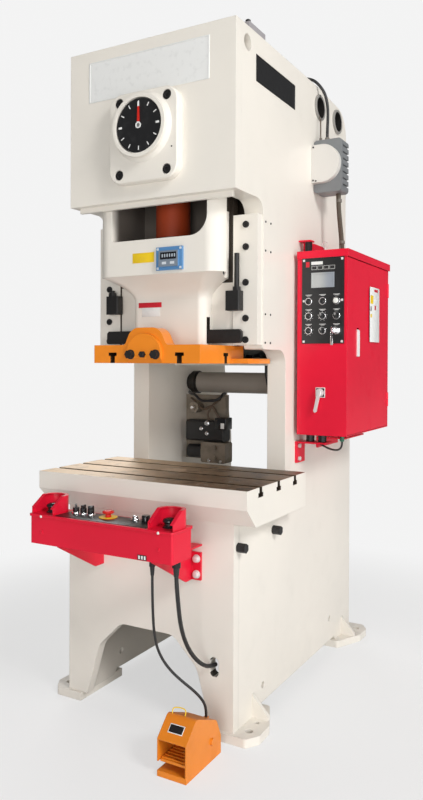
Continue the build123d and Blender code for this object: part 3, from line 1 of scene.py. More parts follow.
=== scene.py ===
from math import pi, radians

import bpy
from mathutils import Matrix, Vector


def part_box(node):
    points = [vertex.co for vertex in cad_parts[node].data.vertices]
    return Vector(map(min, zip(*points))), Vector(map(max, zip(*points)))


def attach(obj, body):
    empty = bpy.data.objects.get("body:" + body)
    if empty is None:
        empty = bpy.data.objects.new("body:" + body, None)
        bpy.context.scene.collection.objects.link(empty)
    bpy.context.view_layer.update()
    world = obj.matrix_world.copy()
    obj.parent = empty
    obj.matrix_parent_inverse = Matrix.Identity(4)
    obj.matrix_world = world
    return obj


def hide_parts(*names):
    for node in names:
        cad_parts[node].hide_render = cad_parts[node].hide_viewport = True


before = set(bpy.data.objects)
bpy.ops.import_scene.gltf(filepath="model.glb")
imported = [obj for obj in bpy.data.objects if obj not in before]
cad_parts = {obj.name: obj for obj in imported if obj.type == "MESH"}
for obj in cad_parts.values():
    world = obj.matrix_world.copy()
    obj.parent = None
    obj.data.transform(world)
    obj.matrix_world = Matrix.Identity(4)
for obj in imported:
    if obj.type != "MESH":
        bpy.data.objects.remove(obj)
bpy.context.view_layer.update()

bl_info = {
    "name": "Stamping press",
    "version": (1, 0, 0),
    "blender": (4, 5, 0),
    "location": "3D View > Sidebar > Press",
    "description": "Paint, plates, controls, cords and stage of a gap-frame stamping press",
    "category": "Add Mesh",
}

MM = 0.001


# Shader maths


def maths(operation):
    """A method that adds a Math node of one kind."""

    def method(self, other=0.0):
        return self.tree.node("ShaderNodeMath", {"operation": operation}, {0: self, 1: other})

    return method


class Value:
    """An output socket, on which Python's operators add Math nodes to its tree."""

    def __init__(self, tree, socket):
        self.tree = tree
        self.socket = socket

    __add__ = __radd__ = maths("ADD")
    __mul__ = __rmul__ = maths("MULTIPLY")
    __sub__ = maths("SUBTRACT")
    __gt__ = maths("GREATER_THAN")
    __lt__ = maths("LESS_THAN")
    __and__ = maths("MINIMUM")
    __or__ = maths("MAXIMUM")
    sine = maths("SINE")
    size = maths("ABSOLUTE")

    def __rsub__(self, other):
        return self.tree.node("ShaderNodeMath", {"operation": "SUBTRACT"}, {0: other, 1: self})

    def within(self, low, high):
        return (self > low) & (self < high)

    def near(self, centre, reach):
        return (self - centre).size() < reach

    def ramp(self, low, high):
        """0 below low, 1 above high, with a soft step between them."""
        return self.tree.node("ShaderNodeMapRange", {"interpolation_type": "SMOOTHSTEP"},
                              {"Value": self, "From Min": low, "From Max": high})


def squares(first, second):
    """The sum of two squares, for round marks."""
    return first * first + second * second


class Tree:
    """A node tree, to which nodes are added with their settings and inputs."""

    def __init__(self, tree):
        self.tree = tree

    def feed(self, socket, value):
        if isinstance(value, Value):
            self.tree.links.new(value.socket, socket)
        elif socket.type == "RGBA" and len(value) == 3:
            socket.default_value = (*value, 1)
        else:
            socket.default_value = value

    def node(self, kind, settings, inputs, output=0):
        """Adds a node: its settings first, then the values or links of its sockets."""
        made = self.tree.nodes.new(kind)
        for name, value in settings.items():
            setattr(made, name, value)
        for name, value in inputs.items():
            self.feed(made.inputs[name], value)
        return Value(self, made.outputs[output])


class Finish(Tree):
    """One procedural material, whose nodes read the piece's own coordinates."""

    def __init__(self, name, **constants):
        self.material = bpy.data.materials.new(name)
        self.material.use_nodes = True
        super().__init__(self.material.node_tree)
        self.shader = self.tree.nodes["Principled BSDF"]
        self.give(**constants)
        self.place = self.node("ShaderNodeTexCoord", {}, {}, "Object")
        self.x, self.y, self.z = (
            self.node("ShaderNodeSeparateXYZ", {}, {0: self.place}, axis) for axis in "XYZ"
        )

    def noise(self, scale, detail=3.0, rough=0.5, stretch=(1, 1, 1), shift=0.0):
        spot = self.node("ShaderNodeMapping", {}, {
            "Vector": self.place, "Scale": stretch, "Location": (shift, shift, shift)})
        return self.node("ShaderNodeTexNoise", {}, {
            "Vector": spot, "Scale": scale, "Detail": detail, "Roughness": rough})

    def mix(self, first, second, mask):
        return self.node("ShaderNodeMix", {"data_type": "RGBA"}, {0: mask, 6: first, 7: second}, 2)

    def layered(self, tone, *layers):
        """A tone with (mask, tone) pairs laid over it in turn."""
        for mask, other in layers:
            tone = self.mix(tone, other, mask)
        return tone

    def rounded(self, radius):
        """The normal with the edges eased, and a mask that is 1 on them."""
        eased = self.node("ShaderNodeBevel", {"samples": 6}, {"Radius": radius})
        flat = self.node("ShaderNodeNewGeometry", {}, {}, "Normal")
        same = self.node("ShaderNodeVectorMath", {"operation": "DOT_PRODUCT"},
                         {0: eased, 1: flat}, "Value")
        return eased, (1 - same).ramp(0.03, 0.22)

    def bump(self, height, distance, normal=None):
        inputs = {"Height": height, "Distance": distance, "Strength": 1.0}
        if normal:
            inputs["Normal"] = normal
        return self.node("ShaderNodeBump", {}, inputs)

    def give(self, **sockets):
        for socket, value in sockets.items():
            self.feed(self.shader.inputs[socket.replace("_", " ")], value)

    def dress(self, tone, rough, relief, depth, eased=None):
        """Gives the surface its colour, its roughness and its fine relief."""
        self.give(Base_Color=tone, Roughness=rough, Normal=self.bump(relief, depth, eased))


# Colours, wear, sizes and stage that a user may change


def colour(name, words, value):
    return bpy.props.FloatVectorProperty(
        name=name, description=words, subtype="COLOR", size=3, min=0, max=1, default=value)


def number(name, words, value, **more):
    return bpy.props.FloatProperty(name=name, description=words, default=value, **more)


def length(name, words, value):
    return number(name, words, value, subtype="DISTANCE", unit="LENGTH", min=0)


def share(name, words, value):
    return number(name, words, value, subtype="FACTOR", min=0, max=1)


class PressColours(bpy.types.PropertyGroup):
    cream: colour("Cream", "Paint of the welded frame and the ram", (0.82, 0.775, 0.70))
    shade: colour("Cream shade", "Second tone of the frame paint", (0.785, 0.745, 0.675))
    crimson: colour("Crimson", "Paint of the cabinet and the button box", (0.76, 0.010, 0.038))
    orange: colour("Orange", "Paint of the ram plate, clamp and pedal", (0.90, 0.27, 0.02))
    rod: colour("Rod red", "Paint of the connecting rod", (0.38, 0.05, 0.012))
    grey: colour("Machine grey", "Paint of switch unit, motor and tank", (0.23, 0.245, 0.23))
    steel: colour("Bright steel", "Machined steel", (0.56, 0.55, 0.53))
    oil: colour("Oiled steel", "Top of the bolster", (0.17, 0.115, 0.068))
    iron: colour("Cast iron", "Flywheel and pulley", (0.13, 0.13, 0.13))
    black: colour("Black", "Blackened screws and plastic", (0.014, 0.014, 0.015))
    white: colour("Label white", "Bare plates and labels", (0.80, 0.80, 0.78))
    yellow: colour("Yellow", "Warning strip and stop disc", (0.86, 0.58, 0.015))
    blue: colour("Cover blue", "Frame of the stroke counter", (0.10, 0.26, 0.50))


class PressWear(bpy.types.PropertyGroup):
    grime: share("Grime", "Dirt on the lower part of the frame", 0.12)
    chips: share("Chips", "Paint missing along the edges", 0.3)
    oil_film: share("Oil film", "Share of the bolster that is wet with oil", 0.5)
    edge: length("Edge radius", "How far the painted edges are rounded", 0.0025)
    peel: length("Orange peel", "Depth of the unevenness in the paint", 0.00012)


class PressSizes(bpy.types.PropertyGroup):
    plate: length("Plate thickness", "Bare plates and labels", 0.0015)
    tick: length("Tick length", "Marks of the dial", 0.014)
    screw: length("Screw head radius", "Small cover screws", 0.004)
    bezel: length("Bezel radius", "Bright rings round the panel controls", 0.0145)


class PressStage(bpy.types.PropertyGroup):
    focal: number("Focal length", "In millimetres, for a 36 mm sensor", 33.3, min=1)
    key: number("Key light", "Power of the large soft lamp", 318, subtype="POWER")
    fill: number("Fill light", "Power of the other lamps", 75, subtype="POWER")
    sky: number("Sky", "Strength of the even light all round", 0.29)


SETS = {"colours": PressColours, "wear": PressWear, "sizes": PressSizes, "stage": PressStage}


def chosen(group):
    return getattr(bpy.context.scene, "press_" + group)


# Modelling steps


def clear():
    if bpy.context.object and bpy.context.object.mode != "OBJECT":
        bpy.ops.object.mode_set(mode="OBJECT")
    bpy.ops.object.select_all(action="DESELECT")


def activate(piece):
    clear()
    piece.select_set(True)
    bpy.context.view_layer.objects.active = piece


def settle(piece):
    """Puts a piece's place, turn and scale into its mesh."""
    activate(piece)
    bpy.ops.object.transform_apply(location=True, rotation=True, scale=True)
    return piece


def modify(piece, kind, **settings):
    activate(piece)
    made = piece.modifiers.new(kind.lower(), kind)
    for name, value in settings.items():
        setattr(made, name, value)
    bpy.ops.object.modifier_apply(modifier=made.name)
    return piece


def edit_faces(piece, wanted):
    """Edit mode, with only the faces that pass the test selected."""
    activate(piece)
    bpy.ops.object.mode_set(mode="EDIT")
    bpy.ops.mesh.select_mode(type="FACE")
    bpy.ops.mesh.select_all(action="DESELECT")
    bpy.ops.object.mode_set(mode="OBJECT")
    for face in piece.data.polygons:
        face.select = wanted(face)
    bpy.ops.object.mode_set(mode="EDIT")


def boxed(name, low, high, ease=0.0005):
    """A box between two corners, in metres, with its edges eased."""
    low, high = Vector(low), Vector(high)
    clear()
    bpy.ops.mesh.primitive_cube_add(size=1, location=(low + high) / 2)
    piece = bpy.context.object
    piece.name = name
    piece.scale = high - low
    settle(piece)
    if ease:
        modify(piece, "BEVEL", width=ease, segments=2, limit_method="ANGLE")
    return piece


TURNS = {
    "up": (0, 0, 0), "down": (pi, 0, 0), "front": (pi / 2, 0, 0), "right": (0, pi / 2, 0),
    "left": (0, -pi / 2, 0), "back": (-pi / 2, 0, 0),
}


def turned(name, rings, foot=(0, 0, 0), way="up", sides=40):
    """A turned piece: a round foot, then (radius, height) rings up to its top, which looks one way."""
    clear()
    radius, height = rings[0][0], 0
    bpy.ops.mesh.primitive_circle_add(vertices=sides, radius=radius, fill_type="NGON")
    piece = bpy.context.object
    piece.name = name
    settle(piece)
    bpy.ops.object.mode_set(mode="EDIT")
    bpy.ops.mesh.select_all(action="SELECT")
    for ring in rings:
        rise = ring[1] - height
        grow = ring[0] / radius
        bpy.ops.mesh.extrude_region_move(TRANSFORM_OT_translate={"value": (0, 0, rise)})
        bpy.ops.transform.resize(value=(grow, grow, 1), center_override=(0, 0, ring[1]))
        radius, height = ring
    bpy.ops.mesh.select_all(action="SELECT")
    bpy.ops.mesh.normals_make_consistent(inside=False)
    bpy.ops.object.mode_set(mode="OBJECT")
    piece.rotation_euler = TURNS[way]
    piece.location = foot
    return settle(piece)


def hoop(place, turn, major, minor, around, across):
    """A ring of round wire."""
    clear()
    bpy.ops.mesh.primitive_torus_add(
        location=place, rotation=turn, major_radius=major, minor_radius=minor,
        major_segments=around, minor_segments=across)
    return settle(bpy.context.object)


def joined(name, pieces):
    """Several meshes made one piece."""
    clear()
    for piece in pieces:
        piece.select_set(True)
    bpy.context.view_layer.objects.active = pieces[0]
    if len(pieces) > 1:
        bpy.ops.object.join()
    pieces[0].name = name
    return pieces[0]


def repeated(piece, moves):
    """Copies of a piece, each with its own mesh, at each move, as one piece."""
    name = piece.name
    copies = []
    for move in moves:
        activate(piece)
        bpy.ops.object.duplicate(linked=False)
        copy = bpy.context.object
        copy.matrix_world = move
        copies.append(settle(copy))
    bpy.data.objects.remove(piece)
    return joined(name, copies)


def dome(name, radius, way, places):
    """Domed screw heads at several places, as one piece."""
    head = turned(name, [
        (radius, radius * 0.3), (radius * 0.85, radius * 0.6),
        (radius * 0.5, radius * 0.78), (radius * 0.15, radius * 0.82)], way=way, sides=20)
    return repeated(head, [at(*place) for place in places])


def cord_curve(name, diameter, route):
    """A cord as one smooth spline through its route, which is in millimetres."""
    curve = bpy.data.curves.new(name, "CURVE")
    curve.dimensions = "3D"
    curve.bevel_depth = diameter / 2
    curve.bevel_resolution = 4
    spline = curve.splines.new("NURBS")
    spline.points.add(len(route) - 1)
    for point, (x, y, z) in zip(spline.points, route):
        point.co = (x * MM, y * MM, z * MM, 1)
    spline.order_u = 3
    spline.use_endpoint_u = True
    spline.resolution_u = 12
    piece = bpy.data.objects.new(name, curve)
    bpy.context.scene.collection.objects.link(piece)
    return piece


def wire(name, wide, route):
    """A fixed wire as a smooth tube through its route."""
    activate(cord_curve(name, wide, route))
    bpy.ops.object.convert(target="MESH")
    return bpy.context.object


def material(name):
    return bpy.data.materials[name]


SMOOTH_ANGLE = radians(35)


def complete(piece, finish, body="frame"):
    """Shades a piece, paints it and makes it ride with a body."""
    activate(piece)
    bpy.ops.object.shade_smooth_by_angle(angle=SMOOTH_ANGLE)
    piece.data.materials.clear()
    piece.data.materials.append(material(finish))
    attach(piece, body)


def block(name, finish, low, high, ease=0.0003, body="frame"):
    """A finished box between two corners."""
    complete(boxed(name, low, high, ease), finish, body)


def stand_in(piece, finish, node):
    """Finishes a piece that moves with a node and takes its place."""
    complete(piece, finish, node)
    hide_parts(node)


def at(x, y, z):
    return Matrix.Translation((x, y, z))


# Finishes


def scaled(tone, share, lift=0.0):
    """A tone made darker or lighter."""
    return tuple(min(1.0, c * share + lift) for c in tone)


def paint(name, tone, second, rough, coat, grime=0.0, fields=None):
    """Sprayed enamel: two close tones, orange peel, worn edges and floor grime.

    fields gives (mask, tone) pairs for places that hold another colour.
    """
    wear = chosen("wear")
    finish = Finish(name, Coat_Roughness=0.12, Specular_IOR_Level=0.25)
    eased, edge = finish.rounded(wear.edge)
    cloud = finish.noise(2.2, 4.0).ramp(0.35, 0.7)
    shade = finish.mix(tone, second, cloud)
    if fields:
        shade = finish.layered(shade, *fields(finish.x, finish.y, finish.z))
    smudge = finish.noise(9.0, 5.0, 0.6).ramp(0.52, 0.78)
    low = 1 - finish.z.ramp(0.02, 0.55)
    dirt = (smudge * 0.35 + low * finish.noise(14.0, 4.0) * 1.1) * grime
    worn = edge * finish.noise(60.0, 3.0).ramp(0.60, 0.66) * wear.chips
    bumps = finish.noise(330.0, 2.0) + finish.noise(6.0, 1.0) * 2.5
    finish.give(
        Base_Color=finish.layered(shade, (dirt, scaled(second, 0.42)), (worn, (0.20, 0.19, 0.18))),
        Roughness=rough + smudge * 0.12 + dirt * 0.3 + worn * 0.2,
        Coat_Weight=coat - dirt * coat, Normal=finish.bump(bumps, wear.peel, eased))


# A field reaches this far past the face that it colours
SKIN = 0.0005
# The lamp's post is the button box's highest point, and rises this far above the lid
LAMP_RISE = 0.012
TUBE_Y = (0.145, 0.354)
TUBE_Z = 2.325
TUBE_RADIUS, BORE_RADIUS = 0.0525, 0.0424


def head_fields(x, y, z):
    """Steel ends of the lifting tubes, painted shade in their bores, and the grey bar on top."""
    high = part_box("head_plates")[1]
    end = x.size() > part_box("side_plate_right")[1].x - SKIN
    inner = x.size() < high.x - SKIN
    bar_foot, bar_left = high.z - 0.0195, 0.3
    fields = [((z > bar_foot) & (x > bar_left), (0.36, 0.34, 0.35))]
    for row in TUBE_Y:
        away = squares(y - row, z - TUBE_Z)
        fields.append(((away < TUBE_RADIUS ** 2) & end, (0.30, 0.29, 0.27)))
        # painted shade: the insides of the bores are coloured near black
        fields.append(((away < BORE_RADIUS ** 2) & inner, (0.02, 0.019, 0.018)))
    return fields


def ram_fields(x, y, z):
    """Painted shade in the unlit opening for the rod, in the window of the knock-out bar and on the
    sides by the rails.
    """
    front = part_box("ram_body")[0].y
    floor, left, right = 1.7055, -0.1905, 0.2155
    bar_y, bar_half, bar_foot, bar_top = -0.4425, 0.0108, 1.331, 1.427
    side_x, side_foot, rail_y, top_y, top_foot = 0.2, 1.55, -0.4275, -0.4765, 1.802
    inside = (z > floor) & x.within(left, right)
    deep_shade = y.ramp(front + 0.001, front + 0.05)
    # painted shade: the window of the knock-out bar is coloured near black
    window = y.near(bar_y, bar_half) & z.within(bar_foot, bar_top)
    # painted shade on the ram's sides beside the rails and under the head's lip
    behind = (y > rail_y) | ((y > top_y) & (z > top_foot))
    gap_shade = (x.size() > side_x) & (z > side_foot) & behind
    return [(inside * deep_shade * 0.9, (0.055, 0.04, 0.03)), (window, (0.03, 0.025, 0.02)),
            (gap_shade, (0.04, 0.03, 0.022))]


def rail_fields(x, y, z):
    """Painted shade, in an oily brown, on the inner faces of the guide rails beside the ram."""
    inner_face = 0.2486
    return [((x.size() < inner_face) * 0.9, (0.05, 0.036, 0.026))]


def tank_fields(x, y, z):
    """Dark end cap of the air tank."""
    cap_x = -0.222
    return [(x < cap_x, (0.016, 0.014, 0.012))]


def support_fields(x, y, z):
    """Rubber mounts above the shelves, steel bolts and the steel eye of the cabinet's supports."""
    shelf, floor = 0.9563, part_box("cabinet_shell")[0].z
    buffer_x, buffer_y, buffer_half = 0.384, -0.048, 0.0145
    bolt_left, bolt_right, bolt_top = 0.3583, 0.367, 0.9495
    eye_x, eye_y, eye_half, eye_foot = 0.3735, 0.214, 0.03, 1.691
    rubber = z.within(shelf, floor + SKIN)
    buffer = x.near(buffer_x, buffer_half) & y.near(buffer_y, buffer_half) & z.within(1.6905, 1.7355)
    bolts = x.within(bolt_left, bolt_right) & (z < bolt_top)
    eye = y.near(eye_y, eye_half) & (z > eye_foot) & (x > eye_x)
    black, steel = (0.012, 0.012, 0.012), (0.58, 0.56, 0.53)
    return [(rubber, black), (buffer, black), (bolts, steel), (eye, steel)]


def base_fields(x, y, z):
    """Painted shade on the unlit underside of the frame behind the arch, and in the hole for the box's
    cable.
    """
    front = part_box("base_plates")[0].y
    hole_x, hole_z, half_wide, half_high = 0.277, 0.239, 0.0165, 0.033
    inside = y.ramp(front + 0.02, front + 0.10) * 0.75
    # painted shade: the inside of the cable hole is coloured near black
    hole_shade = x.near(hole_x, half_wide) & z.near(hole_z, half_high) & (y > front + 0.0006)
    return [(inside, (0.20, 0.175, 0.14)), (hole_shade, (0.04, 0.035, 0.03))]


def box_fields(x, y, z):
    """Black controls on the lid and black glands below the button box."""
    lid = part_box("button_box")[1].z - LAMP_RISE
    underside, middle = 0.6478, 0.07
    controls = (z > lid + 0.0003) & y.near(-0.800, 0.017) & (x.size() > middle)
    black = (0.016, 0.016, 0.017)
    return [(controls, black), (z < underside, black)]


def column_fields(x, y, z):
    """Painted shade, in an oily brown, on the inner faces behind the ram and under the bed, which
    little light reaches.
    """
    inner = (x.size() < 0.276) & (y > -0.56) & (z > 1.6)
    low = (x.size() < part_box("side_plate_right")[0].x + SKIN) & (z < 0.56)
    shade = z.ramp(0.05, 0.45) * 0.55 + 0.25
    return [(inner * 0.85, (0.07, 0.052, 0.04)), (low * shade, (0.15, 0.125, 0.09))]


def slot_fields(x, y, z):
    """Painted shade in the insides of the ram plate's T-slots."""
    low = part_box("ram_plate")[0]
    slot_x, slot_y, slot_half, slot_deep, slot_end = 0.142, -0.433, 0.0182, 0.0384, 0.2244
    deep_shade = z.within(low.z + 0.0004, low.z + slot_deep)
    along = x.size().near(slot_x, slot_half) & (y > low.y + 0.0006)
    across = y.near(slot_y, slot_half) & (x.size() < slot_end)
    return [((along | across) & deep_shade, (0.045, 0.026, 0.014))]


def switch_fields(x, y, z):
    """Pale cover of the cam switch."""
    front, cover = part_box("cam_switch")[0].y, 0.0247
    return [(y < front + cover, (0.66, 0.64, 0.60))]


def bare_metal(name, tone, rough, grain=(1, 1, 1), metallic=1.0, spots=0.25):
    """Machined or blackened metal with fine marks and handling stains."""
    finish = Finish(name, Metallic=metallic)
    eased, edge = finish.rounded(0.0012)
    marks = finish.noise(900.0, 2.0, 0.6, grain)
    stain = finish.noise(26.0, 4.0, 0.6).ramp(0.45, 0.75)
    shade = finish.layered(tone, (stain * spots, scaled(tone, 0.5)),
                           (edge * 0.6, scaled(tone, 1.7, 0.03)))
    finish.dress(shade, rough + marks * 0.16 + stain * 0.1, marks, 0.00006, eased)


def plastic(name, tone, rough):
    """Moulded plastic with a fine grain and rubbed high spots."""
    finish = Finish(name, IOR=1.48)
    eased, edge = finish.rounded(0.0008)
    rub = finish.noise(45.0, 3.0).ramp(0.5, 0.8)
    shade = finish.layered(tone, (rub * 0.5, scaled(tone, 0.8, 0.02)),
                           (edge * 0.4, scaled(tone, 1.2, 0.02)))
    finish.dress(shade, rough + rub * 0.15, finish.noise(1400.0, 2.0), 0.00004, eased)


def bolster_finish(colours, wear):
    """Milled top, brown with oil and pale where the die stood, with a painted sheen towards the left
    and painted shade in the slots; painted edges.
    """
    finish = Finish("bolster_top", Coat_Roughness=0.08)
    low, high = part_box("bolster")
    slot_depth, rim, die_x, die_y = 0.034, 0.001, -0.015, -0.400
    eased, edge = finish.rounded(0.0015)
    steel = (finish.z > high.z - slot_depth) & finish.x.within(low.x + rim, high.x - rim)
    steel = steel & finish.y.within(low.y + rim, high.y - rim)
    cutter = finish.noise(70.0, 2.0, 0.6, (0.08, 9.0, 1.0))
    stain = finish.noise(7.0, 6.0, 0.65).ramp(0.36, 0.70)
    blot = finish.noise(19.0, 4.0, 0.6, shift=3.0).ramp(0.54, 0.66)
    spot = 1 - squares(finish.x - die_x, finish.y - die_y).ramp(0.0021, 0.0027)
    rubbed = finish.x.within(0.22, 0.40) & finish.y.within(-0.64, -0.50)
    fleck = rubbed * finish.noise(120.0, 3.0, 0.6, (0.25, 1.0, 1.0)).ramp(0.60, 0.64)
    # painted sheen: the top is coloured lighter towards the left
    painted_sheen = 1 - finish.x.ramp(-0.38, 0.30)
    # painted shade: the slots below the milled top are coloured near black
    deep_shade = finish.z < high.z - 0.002
    brown = finish.layered(
        colours.oil, (stain, (0.33, 0.25, 0.165)), (blot * 0.75, (0.055, 0.036, 0.024)),
        (cutter.ramp(0.55, 0.8) * 0.35, (0.42, 0.35, 0.26)), (spot * 0.85, (0.56, 0.45, 0.33)),
        (fleck * 0.7, (0.62, 0.60, 0.55)), (painted_sheen * (0.72 + stain * 0.28), (0.82, 0.63, 0.43)),
        (deep_shade * 0.85, (0.03, 0.022, 0.016)))
    cloud = finish.noise(3.0).ramp(0.4, 0.7)
    scuff = finish.noise(16.0, 5.0, 0.65).ramp(0.58, 0.72) * edge
    enamel = finish.layered(colours.cream, (cloud, colours.shade), (scuff * 0.5, (0.30, 0.26, 0.21)))
    wet = steel * blot * wear.oil_film
    finish.give(
        Base_Color=finish.mix(enamel, brown, steel), Metallic=steel * 0.55,
        Roughness=0.34 + steel * 0.1 + stain * steel * 0.16 - wet * 0.2, Coat_Weight=wet,
        Normal=finish.bump(cutter * steel + finish.noise(330.0, 2.0) * 0.5, 0.0001, eased))


def pointer_finish(colours):
    """Red pointer with a white tip and hub ring."""
    finish = Finish("pointer")
    low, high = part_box("dial_pointer")
    hub_radius, tip_length = 0.011, 0.016
    hub = squares(finish.x, finish.z - (low.z + hub_radius)).within(0.00004, 0.00015)
    tip = finish.z > high.z - tip_length
    tone = finish.mix((0.62, 0.02, 0.012), colours.white, hub | tip)
    finish.dress(tone, 0.3, finish.noise(500.0), 0.00002)


def hose_finish():
    """Black rubber, with the ribs of the conduit under the cam switch."""
    finish = Finish("hose_rubber")
    conduit_x, conduit_foot, rib_step = 0.425, 1.69, 0.006
    ribbed = (finish.x > conduit_x) & (finish.z > conduit_foot)
    ribs = (finish.z * (2 * pi / rib_step)).sine() * ribbed
    dust = finish.noise(30.0, 4.0).ramp(0.45, 0.75)
    tone = finish.layered((0.018, 0.018, 0.019), (dust * 0.6, (0.075, 0.072, 0.068)),
                          (ribbed * 0.85, (0.115, 0.095, 0.070)))
    finish.dress(tone, 0.42 + dust * 0.2, ribs + finish.noise(700.0) * 0.15, 0.0008)


def rubber_finish():
    """Cable jacket: soft sheen, dust and a fine extruded grain."""
    finish = Finish("cable_jacket", Sheen_Weight=0.1)
    dust = finish.noise(40.0, 4.0).ramp(0.45, 0.75)
    tone = finish.mix((0.010, 0.010, 0.011), (0.045, 0.042, 0.038), dust * 0.35)
    finish.dress(tone, 0.42 + dust * 0.2, finish.noise(900.0), 0.00005)


def counter_finish(colours):
    """Blue cover frame with pale screws round a grey display with a dark window."""
    finish = Finish("counter_cover")
    low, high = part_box("stroke_counter")
    middle, half = (low + high) / 2, (high - low) / 2
    across, up = (finish.x - middle.x).size(), (finish.z - middle.z).size()
    window = (across < half.x - 0.014) & finish.z.within(low.z + 0.012, high.z - 0.014)
    screws = across.near(half.x - 0.007, 0.0042) & up.near(half.z - 0.007, 0.0042)
    digit_z, digit_step, key_x, key_z = 1.6395, 0.0102, 0.017, 1.6135
    screen = (across < 0.034) & finish.z.within(1.6265, 1.6515)
    digits = (across < 0.030) & finish.z.near(digit_z, 0.0055)
    digits = digits & ((finish.x * (2 * pi / digit_step)).sine() > 0.0)
    keys = across.near(key_x, 0.009) & finish.z.near(key_z, 0.0045)
    eased, edge = finish.rounded(0.001)
    pale = (0.62, 0.66, 0.70)
    tone = finish.layered(
        colours.blue, (edge, (0.30, 0.46, 0.62)), (screws, pale), (window, (0.20, 0.24, 0.29)),
        (screen & window, (0.012, 0.014, 0.018)), (digits & window, (0.45, 0.50, 0.55)),
        (keys & window, pale))
    finish.dress(tone, 0.28 - window * 0.16, finish.noise(600.0), 0.00003, eased)


def panel_finish():
    """Black panel sheet with a pale screen, the outlines of four windows and pale screws."""
    finish = Finish("panel_sheet")
    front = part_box("control_panel")[0].y
    screen = finish.x.within(0.4245, 0.5175) & finish.z.within(1.5485, 1.6055)
    tone = finish.mix((0.010, 0.010, 0.011), (0.020, 0.020, 0.021), finish.noise(60.0, 4.0))
    glow = finish.mix((0.44, 0.45, 0.44), (0.30, 0.33, 0.37), finish.x.ramp(0.45, 0.50))
    tone = finish.mix(tone, glow, screen)
    window_z, middle, screw_x, screw_half = 1.624, 0.4705, 0.0765, 0.0042
    for x in (0.4365, 0.4605, 0.4845, 0.5085):
        outer = finish.x.near(x, 0.0105) & finish.z.near(window_z, 0.0072)
        inner = finish.x.near(x, 0.0092) & finish.z.near(window_z, 0.0060)
        tone = finish.mix(tone, (0.62, 0.62, 0.60), (outer - inner) & (finish.y < front + 0.0095))
    screws = (finish.x - middle).size().near(screw_x, screw_half)
    for z in (1.344, 1.499, 1.654):
        tone = finish.mix(tone, (0.72, 0.71, 0.70), screws & finish.z.near(z, screw_half))
    finish.dress(tone, 0.32 - screen * 0.2, finish.noise(900.0), 0.00003)


def valve_finish():
    """Grey-brown bracket and lower valve, black upper valve, regulator and silencer."""
    finish = Finish("valve_parts")
    plate_y, lower_top, lower_left, upper_foot = 0.1148, 0.9123, -0.1612, 1.0395
    plate = finish.y > plate_y
    lower = (finish.z < lower_top) & (finish.x > lower_left)
    upper = finish.z > upper_foot
    grain = finish.noise(22.0, 4.0).ramp(0.4, 0.7)
    brown = finish.mix((0.24, 0.20, 0.155), (0.17, 0.14, 0.105), grain)
    eased, edge = finish.rounded(0.0012)
    tone = finish.layered((0.014, 0.014, 0.015), (plate | lower | upper, brown),
                          (edge * 0.5, (0.34, 0.31, 0.27)))
    finish.dress(tone, 0.38 + grain * 0.2, finish.noise(500.0), 0.00005, eased)


PAINTED = {
    "frame_cream": ["feet", "crank_housing", "rear_cover"],
    "base_cream": ["base_plates"],
    "rail_cream": ["guide_rails"],
    "column_cream": ["side_plate_left", "side_plate_right"],
    "head_cream": ["head_plates"],
    "ram_cream": ["ram_body"],
    "plate_orange": ["ram_plate"],
    "switch_grey": ["cam_switch"],
    "tank_grey": ["air_tank"],
    "cabinet_crimson": ["cabinet_shell", "button_guards", "box_brackets", "cabinet_door"],
    "support_crimson": ["cabinet_supports"],
    "box_crimson": ["button_box"],
    "valve_parts": ["valve_block"],
    "tooling_orange": ["pedal_housing", "clamp_cap", "treadle"],
    "rod_red": ["connecting_rod", "rod_cap"],
    "machine_grey": ["motor_body", "balance_cylinders"],
    "bolster_top": ["bolster"],
    "blackened": ["frame_bolts", "knockout_stops", "clamp_bolts", "knockout_bar"],
    "dark_plastic": ["dial_face"],
    "panel_sheet": ["control_panel"],
    "bush_bronze": ["crank_bushes"],
    "cast_iron": ["brake_housing", "flywheel", "motor_pulley"],
    "bright_steel": ["crankshaft", "main_gear", "ball_screw", "pinion_shaft"],
    "chrome": ["key_switch"],
    "lever_pale": ["lock_lever"],
    "pointer": ["dial_pointer"],
    "counter_cover": ["stroke_counter"],
    "pale_plastic": ["door_handle"],
    "hose_rubber": ["hoses", "v_belts"],
}


# Steps, one for each group of pieces


